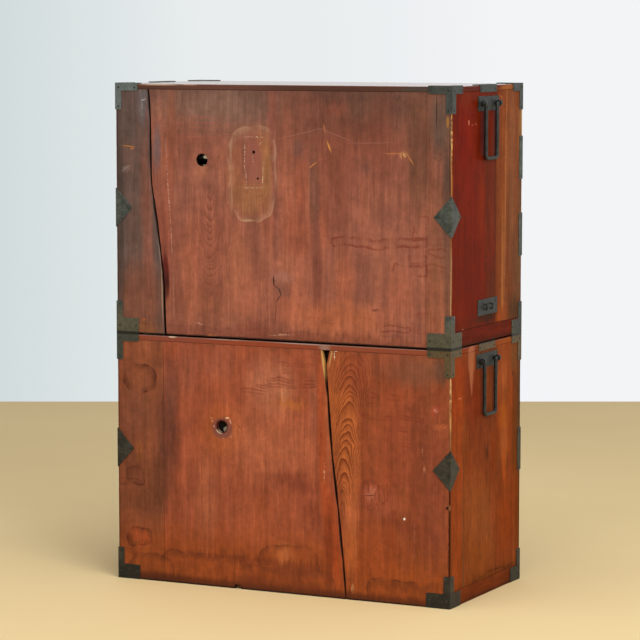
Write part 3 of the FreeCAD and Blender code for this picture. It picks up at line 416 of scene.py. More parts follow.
side_finish = {
    ("upper", "left"): lacquered_cedar(
        "deep_red_lacquered_cedar", "YZ", "Z", ("#661801", "#721f02", "#6a1d02"), (300, 900, 9, 5.5, 0),
        upper_side_tones, (), upper_side_scratches, upper_side_chips, roughness=0.34, **WORN_LACQUER,
        rim=[(-399, 985, 4, 50, 0, "#c8965c", 0.9, 0.3), (-399, 895, 3, 60, 0, "#a06a3a", 0.8, 0.4),
             (-399, 820, 3, 40, 0, "#5a3626", 0.7, 0.5), (-399, 690, 3, 90, 0, "#a07a52", 0.7, 0.4)]),
    ("lower", "left"): lacquered_cedar(
        "worn_red_lacquered_cedar", "YZ", "Z", ("#7b3a1a", "#86421c", "#813b1a"), (-260, 200, 9, 5, 0),
        lower_side_tones, (), lower_side_scratches, lower_side_chips, knots=[(-3, 317, 16, 26, 5)], roughness=0.42,
        rim=[(-399, 452, 4, 40, 0, "#d0a068", 0.9, 0.3), (-399, 400, 3.5, 30, 0, "#c08850", 0.9, 0.4),
             (-399, 350, 3, 30, 0, "#90603c", 0.6, 0.5), (-399, 150, 3, 130, 0, "#3a1c10", 0.7, 0.5)],
        **WORN_LACQUER),
    ("upper", "right"): lacquered_cedar(
        "deep_red_lacquered_cedar_far", "YZ", "Z", ("#6b1d09", "#78270c", "#74290e"), (-240, 760, 9, 5, 0),
        [(110, 800, 60, 420, 0, "#84472a", 0.7, 0.5), (-60, 700, 40, 200, 0, "#66200f", 0.5, 0.7),
         (0, 566, 190, 16, 0, "#5c2c1c", 0.55, 0.4)], rim=[(399, 820, 6, 300, 0, "#4c3a34", 0.9, 0.3)],
        roughness=0.34, **WORN_LACQUER),
    ("lower", "right"): lacquered_cedar(
        "worn_red_lacquered_cedar_far", "YZ", "Z", ("#7a3716", "#864018", "#843f18"), (220, 330, 9, 5, 0),
        [(-100, 420, 60, 120, 0, "#9c4c1f", 0.7, 0.6), (60, 200, 70, 130, 0, "#7c3f1f", 0.6, 0.7),
         (0, 40, 190, 9, 0, "#6a3216", 0.6, 0.5)], rim=[(399, 270, 6, 300, 0, "#6b3826", 0.8, 0.3)],
        roughness=0.38, **WORN_LACQUER),
}
for (section, hand), finish in side_finish.items():
    tear = (UPPER_TEAR if section == "upper" else LOWER_TEAR) if hand == "left" else ()
    aged(f"{section}_{hand}_side", finish, 6 * MM, 1.2 * MM, rows=3, wear=0.5 * MM, bites=tear)

# ------------------------------------------------------------------------------------------- top boards
# One board closes each section, nailed down over the sides with its grain from side to side. The upper one's
# lacquer is rubbed thin and shines at a low angle, and the long back arris is bruised and pale in places.
top_tones = {
    "upper": [(-260, 0, 180, 90, 0, "#7e4630", 0.5, 0.8), (220, -60, 160, 80, 0, "#94563c", 0.5, 0.8)],
    "lower": [],
}
top_ends = {
    "upper": [(0, 1082, 900, 9.6, 0, "#5e2010", 1, 0.05), (-120, 1084, 66, 8, 0, "#86491f", 0.9, 0.4),
              (-104, 1086, 30, 5, 0, "#a3622e", 0.6, 0.5), (60, 1084, 60, 8, 0, "#56281c", 0.6, 0.6)],
    "lower": [(0, 534, 900, 9.6, 0, "#803616", 1, 0.05), (-110, 536, 60, 10, 0, "#934816", 0.9, 0.5),
              (82, 536, 16, 10, 0, "#a86648", 0.8, 0.4), (20, 536, 40, 10, 0, "#63301c", 0.6, 0.6)],
}
top_rims = {
    "upper": [(0, 1082, 900, 9.6, 0, "#53382d", 1, 0.05), (140, 1085, 130, 9, 0, "#68433a", 0.6, 0.6),
              (290, 1090, 44, 1.5, 0, "#c4a48e", 0.8, 0.5), (218, 1090.6, 20, 1.3, 0, "#b8927c", 0.7, 0.5),
              (120, 1091, 70, 0.9, 0, "#8a6456", 0.5, 0.6), (0, 1080, 900, 1.0, 0, "#2e1c16", 0.7, 0.5),
              (-330, 1087, 50, 8, 0, "#474039", 0.7, 0.6), (-100, 1085, 120, 5, 0, "#4a3027", 0.6, 0.6)],
    "lower": [(0, 534, 900, 9.8, 0, "#86442e", 1, 0.05), (240, 537, 90, 10, 0, "#84483a", 0.6, 0.6),
              (60, 537, 120, 9, 0, "#8f452c", 0.6, 0.6), (-250, 537, 90, 9, 0, "#884834", 0.6, 0.6),
              (0, 543.2, 900, 1.3, 0, "#8f7468", 0.4, 0.5), (-60, 542.8, 60, 1.5, 0, "#a58a80", 0.7, 0.5),
              (262, 542.6, 9, 1.6, 0, "#d8bca4", 0.8, 0.5), (130, 542.8, 40, 1.4, 0, "#a88a7c", 0.6, 0.5),
              (0, 532, 900, 0.8, 0, "#5a2c1c", 0.6, 0.5), (-108, 537, 12, 5, 0, "#9a8478", 0.6, 0.6)],
}
for section, tones in top_tones.items():
    low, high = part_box(f"{section}_top_board")
    finish = lacquered_cedar(
        f"{section}_top_lacquered_cedar", "XY", "X", ("#7c4632", "#8d5842", "#7a4c3a"), (40, -420, 12, 6, 0), tones,
        ends=top_ends[section], rim=top_rims[section], roughness=0.3, skin=(SIDE - 1, BACK - 1, low.z / MM + 6),
        **WORN_LACQUER)
    tree, shader = finish.node_tree, finish.node_tree.nodes["Principled BSDF"]
    height = add(tree, "SeparateXYZ", None, {0: add(tree, "TexCoord", out=3)}, out=2)
    waxed = add(tree, "MapRange", None, {0: height, 1: high.z - 1.2 * MM, 2: high.z - 0.2 * MM})
    tree.links.new(waxed, shader.inputs["Coat Weight"])
    shader.inputs["Coat Roughness"].default_value = 0.16
    aged(f"{section}_top_board", finish, 8 * MM, 1.4 * MM, rows=3, wear=0.6 * MM)

# ------------------------------------------------------------------------------------------- back boards
# The backs are wide thin cedar boards with upright grain, nailed into the sides' rabbets. They have shrunk
# apart along one edge, and are water marked, scratched and dulled. Knots have fallen out of two of them.
upper_back_tones = [
    (0, 1100, 480, 66, 0, "#5e443a", 0.75, 0.6), (-150, 1036, 190, 60, 0, "#5c3c30", 0.85, 0.5),
    (150, 1035, 130, 50, 0, "#806052", 0.75, 0.7), (215, 985, 90, 30, 0, "#7d4a39", 0.5, 0.7),
    (-230, 930, 160, 44, 0, "#80493a", 0.6, 0.7), (200, 870, 70, 60, 0, "#8f5a48", 0.5, 0.7),
    (15, 1010, 12, 90, 0, "#935040", 0.6, 0.8), (-17, 885, 16, 170, 0, "#ab6349", 0.6, 0.7),
    (-54, 890, 15, 56, 0, "#a3583f", 0.6, 0.4), (-82, 880, 12, 80, 0, "#5e4438", 0.6, 0.6),
    (-45, 957, 13, 17, 0, "#5a4a46", 0.7, 0.6), (-30, 960, 60, 40, 0, "#7c4938", 0.4, 0.7),
    (-141, 1058, 9, 4, 0, "#3a2a24", 0.5, 0.7),
    (-277, 1067, 9, 5, 0, "#443029", 0.4, 0.7), (-132, 1044, 28, 12, 0, "#854433", 0.5, 0.6),
    (-154, 1016, 14, 10, 0, "#4d2e26", 0.5, 0.7), (-195, 985, 50, 30, 0, "#733b2b", 0.5, 0.7),
    (-201, 920, 14, 12, 0, "#5f4038", 0.5, 0.7), (-197, 840, 10, 80, 0, "#a15c46", 0.4, 0.6),
    (-248, 822, 26, 32, 0, "#7c4a3c", 0.5, 0.7), (-145, 815, 22, 90, 0, "#7a4434", 0.5, 0.7),
    (-106, 800, 10, 60, 0, "#a5583e", 0.5, 0.6), (-82, 790, 10, 100, 0, "#6f4436", 0.5, 0.7),
    (-46, 765, 30, 90, 0, "#994e35", 0.5, 0.7), (-30, 706, 36, 30, 0, "#b16a50", 0.7, 0.6),
    (-92, 670, 12, 110, 0, "#7a4030", 0.5, 0.7), (-154, 679, 20, 60, 0, "#a1563a", 0.5, 0.7),
    (-212, 690, 12, 60, 0, "#875242", 0.5, 0.7), (-30, 626, 38, 40, 0, "#ba6a4c", 0.6, 0.7),
    (-286, 660, 32, 50, 0, "#ab6248", 0.6, 0.6), (-150, 598, 96, 34, 0, "#b4643e", 0.6, 0.7),
    (-353, 800, 6, 250, 0, "#96503c", 0.4, 0.6), (-372, 790, 24, 200, 0, "#83503c", 0.5, 0.6),
    (-374, 1012, 24, 56, 0, "#5a463b", 0.85, 0.5), (-389, 905, 9, 66, 0, "#4d3d34", 0.7, 0.6),
    (-389, 760, 11, 120, 0, "#62463a", 0.6, 0.6),
    (-365, 635, 30, 86, 0, "#9a5a3e", 0.6, 0.6), (-392, 640, 5, 100, 0, "#6a4434", 0.6, 0.6),
    (100, 556, 300, 13, 0, "#7c4434", 0.6, 0.6), (-200, 556, 200, 9, 0, "#87482f", 0.6, 0.6),
    (261, 1000, 10, 90, 0, "#8b5038", 0.6, 0.6), (270, 850, 12, 120, 0, "#94503b", 0.6, 0.6),
    (298, 952, 9, 44, 0, "#6b5a5c", 0.7, 0.6), (284, 760, 12, 80, 4, "#8c4636", 0.6, 0.6),
    (278, 679, 9, 47, 2, "#541410", 0.9, 0.35), (275, 655, 6, 26, 0, "#340c08", 0.8, 0.5),
    (108, 905, 17, 66, 0, "#995f42", 0.6, 0.5), (30, 905, 11, 70, 0, "#9b6a40", 0.6, 0.5),
    (68, 852, 36, 36, 0, "#a06c43", 0.6, 0.5), (61, 992, 40, 14, 0, "#8f5b45", 0.5, 0.6),
    (40, 960, 12, 30, 0, "#98643f", 0.4, 0.6), (-325, 955, 27, 130, 0, "#67412f", 0.8, 0.5),
    (-130, 930, 46, 120, 0, "#7f4533", 0.6, 0.6), (-60, 1020, 40, 60, 0, "#824a39", 0.6, 0.7),
    (60, 565, 34, 24, 0, "#7c4030", 0.6, 0.6), (-240, 980, 30, 80, 0, "#773f2f", 0.5, 0.7),
    (187, 903, 20, 13, 0, "#a5684c", 0.5, 0.6), (190, 760, 40, 90, 0, "#a5604a", 0.5, 0.7),
    (28, 790, 14, 50, 0, "#8f4c38", 0.4, 0.7), (98, 690, 26, 80, 0, "#b86f50", 0.55, 0.7),
    (220, 700, 22, 90, 0, "#b0664a", 0.45, 0.7),
    (-8, 684, 24, 12, 0, "#a06c5c", 0.6, 0.6), (-10, 655, 18, 12, 0, "#6a4a40", 0.5, 0.6),
    (200, 620, 80, 40, 0, "#95553c", 0.5, 0.7), (70, 640, 34, 60, 0, "#a86148", 0.5, 0.7),
]
upper_right_tones = [
    (322, 740, 14, 190, 2, "#8a5342", 0.75, 0.6), (330, 867, 12, 80, 0, "#7d4c3c", 0.5, 0.6),
    (345, 620, 60, 80, 0, "#7b4a37", 0.85, 0.6), (330, 1050, 14, 40, 0, "#6f686a", 0.6, 0.6),
    (372, 940, 24, 40, 0, "#6b4a40", 0.5, 0.7), (360, 880, 30, 40, 0, "#624c44", 0.5, 0.7),
    (350, 780, 20, 60, 0, "#64493f", 0.5, 0.7), (392, 820, 10, 300, 0, "#463a34", 0.7, 0.6),
    (350, 556, 60, 18, 0, "#85502f", 0.7, 0.5), (322, 1000, 5, 60, 0, "#74483e", 0.5, 0.6),
    (360, 1088, 60, 10, 0, "#4a3c36", 0.6, 0.6), (375, 1000, 18, 40, 0, "#52423a", 0.5, 0.7),
]
upper_back_tides = [
    (-232, 764, 113, 9, 8, "#6c2a1b", 0.7), (-328, 795, 17, 26, 6, "#6c2a1b", 0.6),
    (-306, 712, 40, 9, 6, "#6c2a1b", 0.7), (-325, 733, 18, 7, 4, "#6c2a1b", 0.6),
    (-267, 584, 37, 6, 5, "#6c2a1b", 0.6), (-335, 600, 32, 22, 16, "#7a3421", 0.6),
    (-369, 768, 24, 7, 6, "#6c2a1b", 0.5), (-368, 746, 22, 6, 5, "#6c2a1b", 0.5),
    (-369, 716, 24, 6, 5, "#6c2a1b", 0.5), (65, 903, 56, 101, 46, "#c8a080", 0.34),
    (0, 560, 480, 8, 6, "#5c2a1c", 0.25), (-120, 690, 60, 14, 12, "#84442c", 0.25),
]
upper_back_scratches = [
    (60.7, 981, 22, 1.0, 0, "#d8bc9c", 0.8, 0.5), (60.7, 873, 22, 1.0, 0, "#d8bc9c", 0.7, 0.5),
    (83, 945, 1.0, 34, -1, "#dcc4a8", 0.8, 0.5), (79, 892, 1.0, 18, 4, "#dcc4a8", 0.7, 0.5),
    (39, 900, 0.9, 26, -2, "#d8bc9c", 0.7, 0.5), (44, 968, 6, 1.0, 40, "#d8bc9c", 0.6, 0.5),
    (63, 933, 1.6, 8, 0, "#e6d2b8", 0.9, 0.5),
    (180, 913, 8, 1.4, 0, "#bc8c6c", 0.5, 0.6), (145.3, 937, 2.6, 2.6, 0, "#2c1a14", 0.9, 0.4),
    (276, 960, 0.9, 60, 4, "#b8988a", 0.4, 0.5), (270, 860, 1.0, 46, 4, "#d0b4a0", 0.7, 0.5),
    (264, 770, 0.9, 50, 4, "#c8a08a", 0.6, 0.5), (258, 640, 0.8, 60, 1, "#b8907c", 0.4, 0.5),
    (185, 1021, 60, 1.8, 0, "#9c5340", 0.7, 0.6), (180, 1009, 80, 1.8, 0, "#9c5340", 0.7, 0.6),
    (170, 1000, 60, 1.4, 0, "#a0563f", 0.6, 0.6), (190, 979, 76, 1.6, 0, "#9c5340", 0.7, 0.6),
    (160, 990, 50, 1.4, 0, "#5c3a30", 0.5, 0.6), (200, 970, 60, 1.4, 0, "#8f4a38", 0.6, 0.6),
    (-228, 623, 8, 3, 8, "#3a1810", 0.8, 0.6), (-5, 560, 24, 1.8, 4, "#c89c84", 0.6, 0.6),
    (195, 575, 12, 2, -8, "#c09078", 0.6, 0.6), (165, 550, 10, 3, 0, "#c87840", 0.8, 0.5),
    (-290, 950, 8, 7, 0, "#d09a60", 0.8, 0.6), (-342, 780, 1.2, 300, 0, "#743224", 0.7, 0.5),
    (375, 907, 9, 6, 30, "#948078", 0.6, 0.6), (330, 1058, 6, 1.6, 20, "#b8b4b2", 0.7, 0.5),
    (334, 1040, 1.6, 14, 0, "#a09ca0", 0.5, 0.5), (334, 578, 5, 3, 0, "#b05c2c", 0.8, 0.5),
    (36, 700, 2, 26, 0, "#7c3826", 0.5, 0.6), (-80, 600, 14, 2, 0, "#8a3a22", 0.5, 0.6),
    (-120, 590, 12, 1.6, 0, "#5c2416", 0.6, 0.6), (-366, 950, 10, 30, 0, "#3f302a", 0.4, 0.7),
]
upper_back_chips_and_painted_shade = [
    # The near-black strips down the gap between the boards are painted shade in the gap.
    (281, 604, 3, 60, 2, "#140b08", 0.95, 0.3), (285.5, 686, 2.6, 30, 5.7, "#140b08", 0.95, 0.3),
    (299.7, 792, 2.4, 86, 8.3, "#140b08", 0.95, 0.3), (313.5, 945, 2.4, 74, 0.8, "#140b08", 0.95, 0.3),
    (317.5, 1054, 2.4, 42, 4.4, "#1a100b", 0.9, 0.3),
    (61.5, 927, 20, 50, 0, "#8c5347", 0.55, 0.35), (60, 905, 12, 22, 0, "#965c48", 0.5, 0.6),
    (-50, 990, 50, 0.8, 13, "#a5766a", 0.45, 0.5), (-136, 988, 42, 0.8, -19, "#a5766a", 0.4, 0.5),
    (-215, 973, 44, 0.8, 2, "#a5766a", 0.35, 0.5), (-118, 964, 1.7, 12, 20, "#c4843e", 0.9, 0.4),
    (-107, 1001, 1.3, 9, 16, "#b87448", 0.7, 0.4), (-80, 924, 1.4, 11, -52, "#b8703e", 0.8, 0.4),
    (-268, 952, 19, 1.6, 2, "#a8663c", 0.8, 0.5), (-306, 941, 1.5, 12, 33, "#b06e42", 0.8, 0.5),
    (13.5, 675, 1.7, 10, 3, "#2a1614", 0.9, 0.5), (6.5, 662, 7.6, 1.0, -32, "#3a2420", 0.85, 0.5),
    (-1.5, 651.5, 1.3, 8, 13, "#2e1c1a", 0.9, 0.5), (2, 638, 1.2, 9, -36, "#3a2420", 0.85, 0.5),
    (9.5, 604, 0.9, 28, -4, "#4a261c", 0.7, 0.5),
    (76, 803, 16, 2.0, 0, "#b89270", 0.6, 0.6), (117, 950, 2.6, 24, 0, "#ad8470", 0.45, 0.6),
    (10, 930, 2.4, 60, 0, "#a8806c", 0.35, 0.6), (114, 850, 2.2, 30, 0, "#b08a68", 0.4, 0.6),
    (-365, 1041, 1.1, 34, 0, "#30201a", 0.9, 0.5), (-391, 1019, 3.6, 12, 0, "#97662c", 0.9, 0.4),
    (368, 956, 14, 1.4, -4, "#b0702e", 0.8, 0.5), (360, 951, 5, 1.6, 20, "#b0702e", 0.8, 0.5),
    (287, 640, 1.3, 56, 1, "#a88c74", 0.7, 0.5), (293, 722, 1.1, 40, 6, "#94786a", 0.5, 0.5),
    (316, 1068, 1.4, 22, 2, "#8d6a4c", 0.6, 0.5), (-396, 930, 1.0, 120, 0, "#2c201a", 0.7, 0.5),
    # The near-black line along the foot of the boards is painted shade in the seam between the sections.
    (0, 549, 500, 1.6, 0, "#1e120e", 0.8, 0.5),
]
lower_back_tones = [
    (0, 30, 900, 90, 0, "#904416", 0.8, 0.6),
    (268, 425, 18, 66, 0, "#6f4133", 0.7, 0.6), (274, 330, 26, 90, 0, "#623629", 0.75, 0.6),
    (290, 232, 26, 60, 0, "#613524", 0.7, 0.6), (320, 183, 44, 34, 0, "#693922", 0.7, 0.6),
    (350, 380, 40, 50, 0, "#784531", 0.6, 0.7), (372, 330, 22, 90, 0, "#7c4630", 0.5, 0.6),
    (346, 288, 8, 20, 0, "#a5602c", 0.5, 0.6), (346, 97, 27, 16, 0, "#a04822", 0.7, 0.4),
    (225, 470, 30, 50, 0, "#9a5641", 0.5, 0.6), (150, 490, 40, 30, 0, "#995640", 0.5, 0.7),
    (140, 344, 48, 54, 0, "#a8562a", 0.75, 0.5), (-335, 330, 55, 170, 0, "#80402a", 0.6, 0.6),
    (24, 448, 50, 54, 0, "#c0785a", 0.6, 0.7), (-12, 440, 16, 50, 0, "#c07454", 0.5, 0.7),
    (-86, 420, 15, 80, 0, "#90523c", 0.6, 0.6), (-170, 260, 18, 170, 0, "#be683c", 0.8, 0.6),
    (-80, 180, 20, 24, 0, "#7a3820", 0.6, 0.6), (-10, 86, 26, 24, 0, "#b06030", 0.6, 0.7),
    (-120, 100, 14, 70, 0, "#7c3614", 0.5, 0.6), (366, 250, 30, 80, 0, "#663520", 0.5, 0.7),
    (24, 320, 100, 70, 0, "#b86a48", 0.55, 0.7), (-22, 412, 38, 10, 0, "#b0642f", 0.7, 0.6),
    (-22, 250, 42, 16, 0, "#7d3a26", 0.7, 0.7), (-58, 232, 32, 12, 0, "#7d3a26", 0.6, 0.7),
    (220, 225, 9, 60, 0, "#7f4029", 0.5, 0.6), (98, 220, 20, 60, 0, "#88442b", 0.5, 0.7),
    (180, 200, 26, 90, 0, "#a05c3c", 0.5, 0.7), (50, 150, 60, 50, 0, "#a35330", 0.5, 0.7),
    (-102, 330, 9, 190, 2, "#a1461f", 0.7, 0.5), (-128, 130, 15, 110, 6, "#a4451c", 0.7, 0.5),
    (120, 66, 150, 9, 0, "#692f1c", 0.5, 0.7), (-40, 52, 66, 16, 0, "#753720", 0.6, 0.7),
    (0, 540, 420, 10, 0, "#7c4633", 0.6, 0.6), (-150, 380, 34, 140, 4, "#b4612f", 0.85, 0.5),
    (-170, 480, 40, 40, 0, "#96472a", 0.6, 0.6), (-214, 230, 23, 37, 0, "#8a3f26", 0.7, 0.5),
    (-216, 236, 15, 18, 0, "#b8664c", 0.6, 0.6), (-240, 212, 36, 28, 0, "#a8583c", 0.6, 0.6),
    (-290, 168, 62, 14, -8, "#7b3921", 0.7, 0.7), (-336, 140, 26, 40, 0, "#7f3c20", 0.6, 0.7),
    (-262, 350, 44, 120, 0, "#9c4b2e", 0.5, 0.7), (-320, 500, 66, 30, 0, "#7f4f39", 0.7, 0.6),
    (-380, 508, 20, 30, 0, "#5c4232", 0.7, 0.6), (-250, 505, 50, 26, 0, "#8c4a32", 0.6, 0.6),
    (-366, 417, 10, 8, 0, "#a03c2c", 0.6, 0.6), (-367, 330, 22, 60, 0, "#8a452c", 0.5, 0.7),
    (-367, 200, 26, 110, 0, "#82402a", 0.6, 0.6), (-290, 40, 84, 9, 0, "#5a2a18", 0.35, 0.8),
    (-220, 110, 60, 50, 0, "#96451f", 0.6, 0.7), (-330, 90, 50, 24, 0, "#84411f", 0.5, 0.7),
    (0, 3, 900, 10, 0, "#4e2410", 0.4, 0.6), (-120, 110, 9, 90, 0, "#6a2e14", 0.45, 0.6),
    (-10, 86, 12, 16, 0, "#b8683c", 0.5, 0.6), (-10, 430, 12, 14, 0, "#c07c54", 0.5, 0.6),
    (-170, 108, 14, 40, 0, "#b4602c", 0.5, 0.6), (-220, 232, 10, 10, 0, "#c07458", 0.5, 0.6),
]
lower_back_tides = [
    (345, 449, 37, 32, 26, "#4c2216", 1.0), (346, 97, 29, 19, 15, "#522212", 0.95),
    (356, 232, 22, 20, 12, "#54281a", 0.85), (372, 218, 30, 6, 5, "#54281a", 0.6),
    (-15, 452, 70, 3, 3, "#6e2c1a", 0.6),
    (-30, 466, 60, 3, 3, "#6e2c1a", 0.6), (10, 482, 60, 3, 3, "#7c3a26", 0.5),
    (-40, 497, 50, 3, 3, "#7c3a26", 0.5), (60, 437, 34, 4, 4, "#6e2c1a", 0.5),
    (-22, 46, 74, 58, 44, "#4e2414", 0.65), (184, 24, 112, 48, 34, "#4e2414", 0.65),
    (30, 30, 66, 26, 22, "#5a2c18", 0.5), (-300, 16, 92, 36, 26, "#45200f", 0.65),
    (318, 22, 56, 36, 26, "#45200f", 0.55), (-90, 20, 40, 34, 24, "#5a2c18", 0.5),
    (-270, 395, 70, 3, 3, "#6e2c1a", 0.5), (-300, 372, 50, 3, 3, "#6e2c1a", 0.5),
    (-260, 421, 50, 3, 3, "#6e2c1a", 0.4), (-322, 340, 40, 3, 3, "#6e2c1a", 0.35),
    (-250, 441, 40, 4, 4, "#6e2c1a", 0.4), (-214, 230, 20, 33, 20, "#5a2a1a", 0.35),
    (-300, 160, 56, 40, 30, "#6a301c", 0.35),
]
lower_back_scratches = [
    (-341, 292, 3, 10, 0, "#c08060", 0.6, 0.6), (-336, 330, 2, 8, 0, "#c08060", 0.5, 0.6),
    (-378, 384, 15, 7, 0, "#bc6438", 0.6, 0.7), (-366, 418, 5, 5, 0, "#c89078", 0.6, 0.6),
    (-107, 266, 1.5, 16, 0, "#d2a684", 0.8, 0.5), (-108, 288, 1.2, 8, 0, "#d2a684", 0.6, 0.5),
    (-174, 26, 3, 9, 0, "#cc9460", 0.8, 0.5), (-181, 120, 1.2, 44, 4, "#b87444", 0.6, 0.5),
    (-318, 142, 1.2, 40, 0, "#ae745c", 0.6, 0.5), (60, 541, 60, 1.2, 0, "#b89484", 0.5, 0.6),
    (-60, 330, 1.1, 90, 0, "#6c2e1a", 0.5, 0.6), (35, 280, 1.1, 160, 0.6, "#703220", 0.35, 0.6),
    (190, 250, 1.4, 150, -0.5, "#6f3420", 0.4, 0.6), (-131, 521, 1.4, 9, 0, "#e6d0b0", 0.8, 0.5),
    (-396, 130, 1.2, 110, 0, "#2a1610", 0.7, 0.5), (-398, 300, 1.6, 90, 0, "#b8805c", 0.5, 0.5),
]
lower_back_chips_and_painted_shade = [
    (0, 4, 900, 12, 0, "#54260f", 0.8, 0.7), (330, 8, 100, 13, 0, "#48200f", 0.6, 0.6),
    # The near-black line along the bottom edge is a painted contact shadow where the chest meets the floor.
    (0, 0.5, 900, 3.6, 0, "#20120c", 0.9, 0.5),
    (140, 350, 25, 22.5, 0, "#7a463b", 0.92, 0.15), (124, 360, 6, 8, 0, "#8f5044", 0.5, 0.6),
    (60, 22, 40, 12, 0, "#6c3018", 0.6, 0.7), (-50, 20, 60, 10, 0, "#6c3018", 0.5, 0.7),
    (-134, 535, 2.6, 4.6, 20, "#efe6da", 0.95, 0.3), (-295, 184, 2.2, 2.8, 0, "#f2eadf", 0.95, 0.3),
    (127, 373, 4.4, 1.2, 0, "#f0d0b0", 0.95, 0.4), (119.5, 366, 1.2, 4.6, 24, "#dcae94", 0.85, 0.5),
    (166, 371, 2, 1.2, 0, "#cc9070", 0.7, 0.5), (165, 364, 1.3, 2.4, 0, "#cc9478", 0.7, 0.5),
    (160, 353, 1.5, 1.8, 0, "#e0b498", 0.8, 0.5), (118, 333, 1.2, 3, 0, "#c88a68", 0.7, 0.5),
    (137, 328, 3, 1.0, 0, "#bc7c60", 0.6, 0.5), (98, 356, 12, 1.2, -50, "#6c2c18", 0.6, 0.5),
    # The near-black strips down the gap between the boards are painted shade in the gap.
    (-155.5, 40, 2.6, 44, 5, "#120805", 0.95, 0.3), (-146, 137, 2.9, 62, 6, "#120805", 0.95, 0.3),
    (-132.5, 252, 3.2, 62, 7.3, "#120805", 0.95, 0.3), (-120, 378, 3.3, 70, 4.3, "#120805", 0.95, 0.3),
    (-111.5, 470, 3.4, 34, 4, "#160a06", 0.95, 0.3),
    (-104, 507, 2.2, 32, 6, "#c69858", 0.9, 0.4), (-122, 517, 2.2, 20, -14, "#b08652", 0.8, 0.4),
    (-113, 470, 1.2, 26, 4, "#a4703e", 0.7, 0.5), (-393, 214, 3.2, 3.6, 0, "#170c08", 0.95, 0.4),
    (-214, 228, 12, 0.9, 4, "#240e08", 0.9, 0.5), (-211, 244, 0.9, 12, 0, "#4a1e14", 0.7, 0.5),
    (-90, 400, 0.8, 130, 0, "#8a3e26", 0.5, 0.5), (-318, 272, 0.9, 256, 0, "#73351e", 0.5, 0.5),
    (285, 272, 0.9, 270, 0, "#5c2c1c", 0.6, 0.5),
]
BACKS = {
    "upper_back_right_board": dict(tones=("#594a47", "#684f47", "#60463f"), heart=(520, 700, 14, 6, 0),
                                   show_rings=0.06, roughness=0.62),
    "upper_back_middle_board": dict(tones=("#834d3e", "#9e5f49", "#925440"), heart=(169, 950, 5.2, 2.7, 0),
                                    clear=[(169, 760, 60, 104, 0, 0.5), (-230, 640, 100, 60, 0, 0.12)],
                                    knots=[(3, 660, 17, 26, 6)], show_rings=0.05),
    "upper_back_left_board": dict(tones=("#7d4b3a", "#935a44", "#8a5440"), heart=(-560, 800, 14, 5, 0),
                                  show_rings=0.06),
    "lower_back_right_board": dict(tones=("#7e452c", "#8f4f33", "#7c4128"), heart=(540, 300, 14, 6, 0),
                                   show_rings=0.06),
    "lower_back_middle_board": dict(tones=("#8c452a", "#a45539", "#984d30"), heart=(60, -420, 12, 5, 0),
                                    knots=[(141, 352, 24, 26, 5)], show_rings=0.08),
    "lower_back_left_board": dict(tones=("#863e20", "#994f2c", "#904728"), heart=(-146, 140, 6, 2.9, -4),
                                  late_tone="#84523c",
                                  knots=[(-214, 230, 24, 38, 7)], show_rings=0.08,
                                  clear=[(-150, 350, 44, 140, 0, 0.95), (-200, 470, 60, 50, 0, 0.45),
                                         (-214, 230, 40, 50, 0, 0.6)]),
}
RAW = {
    "lower_back_middle_board": [(141, 352, 19, 19, 0, "#6a3428", 1, 0.2), (148, 341, 7, 4, -35, "#b8a282", 0.8, 0.4),
                                (128, 352, 3, 8, 0, "#7c5040", 0.6, 0.5), (-104, 500, 9, 42, 0, "#b48648", 0.9, 0.3)],
    "lower_back_left_board": [(-116, 500, 12, 42, 0, "#c09a5c", 0.9, 0.3)],
    "upper_back_middle_board": [(180, 943, 6, 3, 0, "#c8a88c", 0.7, 0.5)],
}
MOUTHS = {"lower_back_middle_board": [(141.9, 351.6, 14, 6)],
          "upper_back_middle_board": [(187.4, 929.6, 17, 1.6)]}
MARKS = {"upper": (upper_back_tones, upper_back_tides, upper_back_scratches, upper_back_chips_and_painted_shade),
         "lower": (lower_back_tones, lower_back_tides, lower_back_scratches, lower_back_chips_and_painted_shade)}
FRAYED = 12  # how far past its outline a mark can show
for node, looks in BACKS.items():
    low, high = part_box(node)
    tones, tides, scratches, chips = MARKS[node.split("_")[0]]
    if node == "upper_back_right_board":
        tones = upper_right_tones
    near = [[mark for mark in marks
             if mark[0] + mark[2] + FRAYED > low.x / MM and mark[0] - mark[2] - FRAYED < high.x / MM]
            for marks in (tones, tides, scratches, chips)]
    # The bare wood of the backs, inside the gaps between boards and the knot holes, is near black: dirt and painted
    # shade.
    looks = {"roughness": 0.56, "bare": "#1c100b", "raw": RAW.get(node, ()), **looks}
    finish = lacquered_cedar(f"dulled_{node}", "XZ", "Z", patches=near[0], tides=near[1], scratches=near[2],
                             chips=near[3], skin=(FAR, BACK - 0.7, FAR), **looks)
    aged(node, finish, 5 * MM, 0.9 * MM, rows=3, wear=0.45 * MM, mouths=MOUTHS.get(node, ()))

# ------------------------------------------------------------------------------------------- base rails, floors
# Cedar runners under each side, and rails between them, carry a floor board. Rails cross the front between
# the drawers, with a shelf behind each. All of it is sawn wood left bare behind a stained front edge.
RUNNER_TONES = {"lower": ("#6e2f10", "#773612", "#6a2a0e"), "upper": ("#5c1a0a", "#6a220e", "#642010")}
for section, base in FOOT.items():
    runner = lacquered_cedar(
        f"{section}_runner_cedar", "YZ", "Y", RUNNER_TONES[section], (0, -300, 12, 6, 0),
        [(-180, base + 10, 14, 40, 0, "#4c311c", 0.7, 0.5), (180, base + 10, 14, 40, 0, "#4a341d", 0.7, 0.5),
         (0, base, 400, 8, 0, "#3c1c0e", 0.6, 0.6)],
        gloss=0.02, bare="#7a573b")
    aged(f"{section}_base_rails", runner, 6 * MM, 1.1 * MM, rows=3, wear=0.5 * MM)


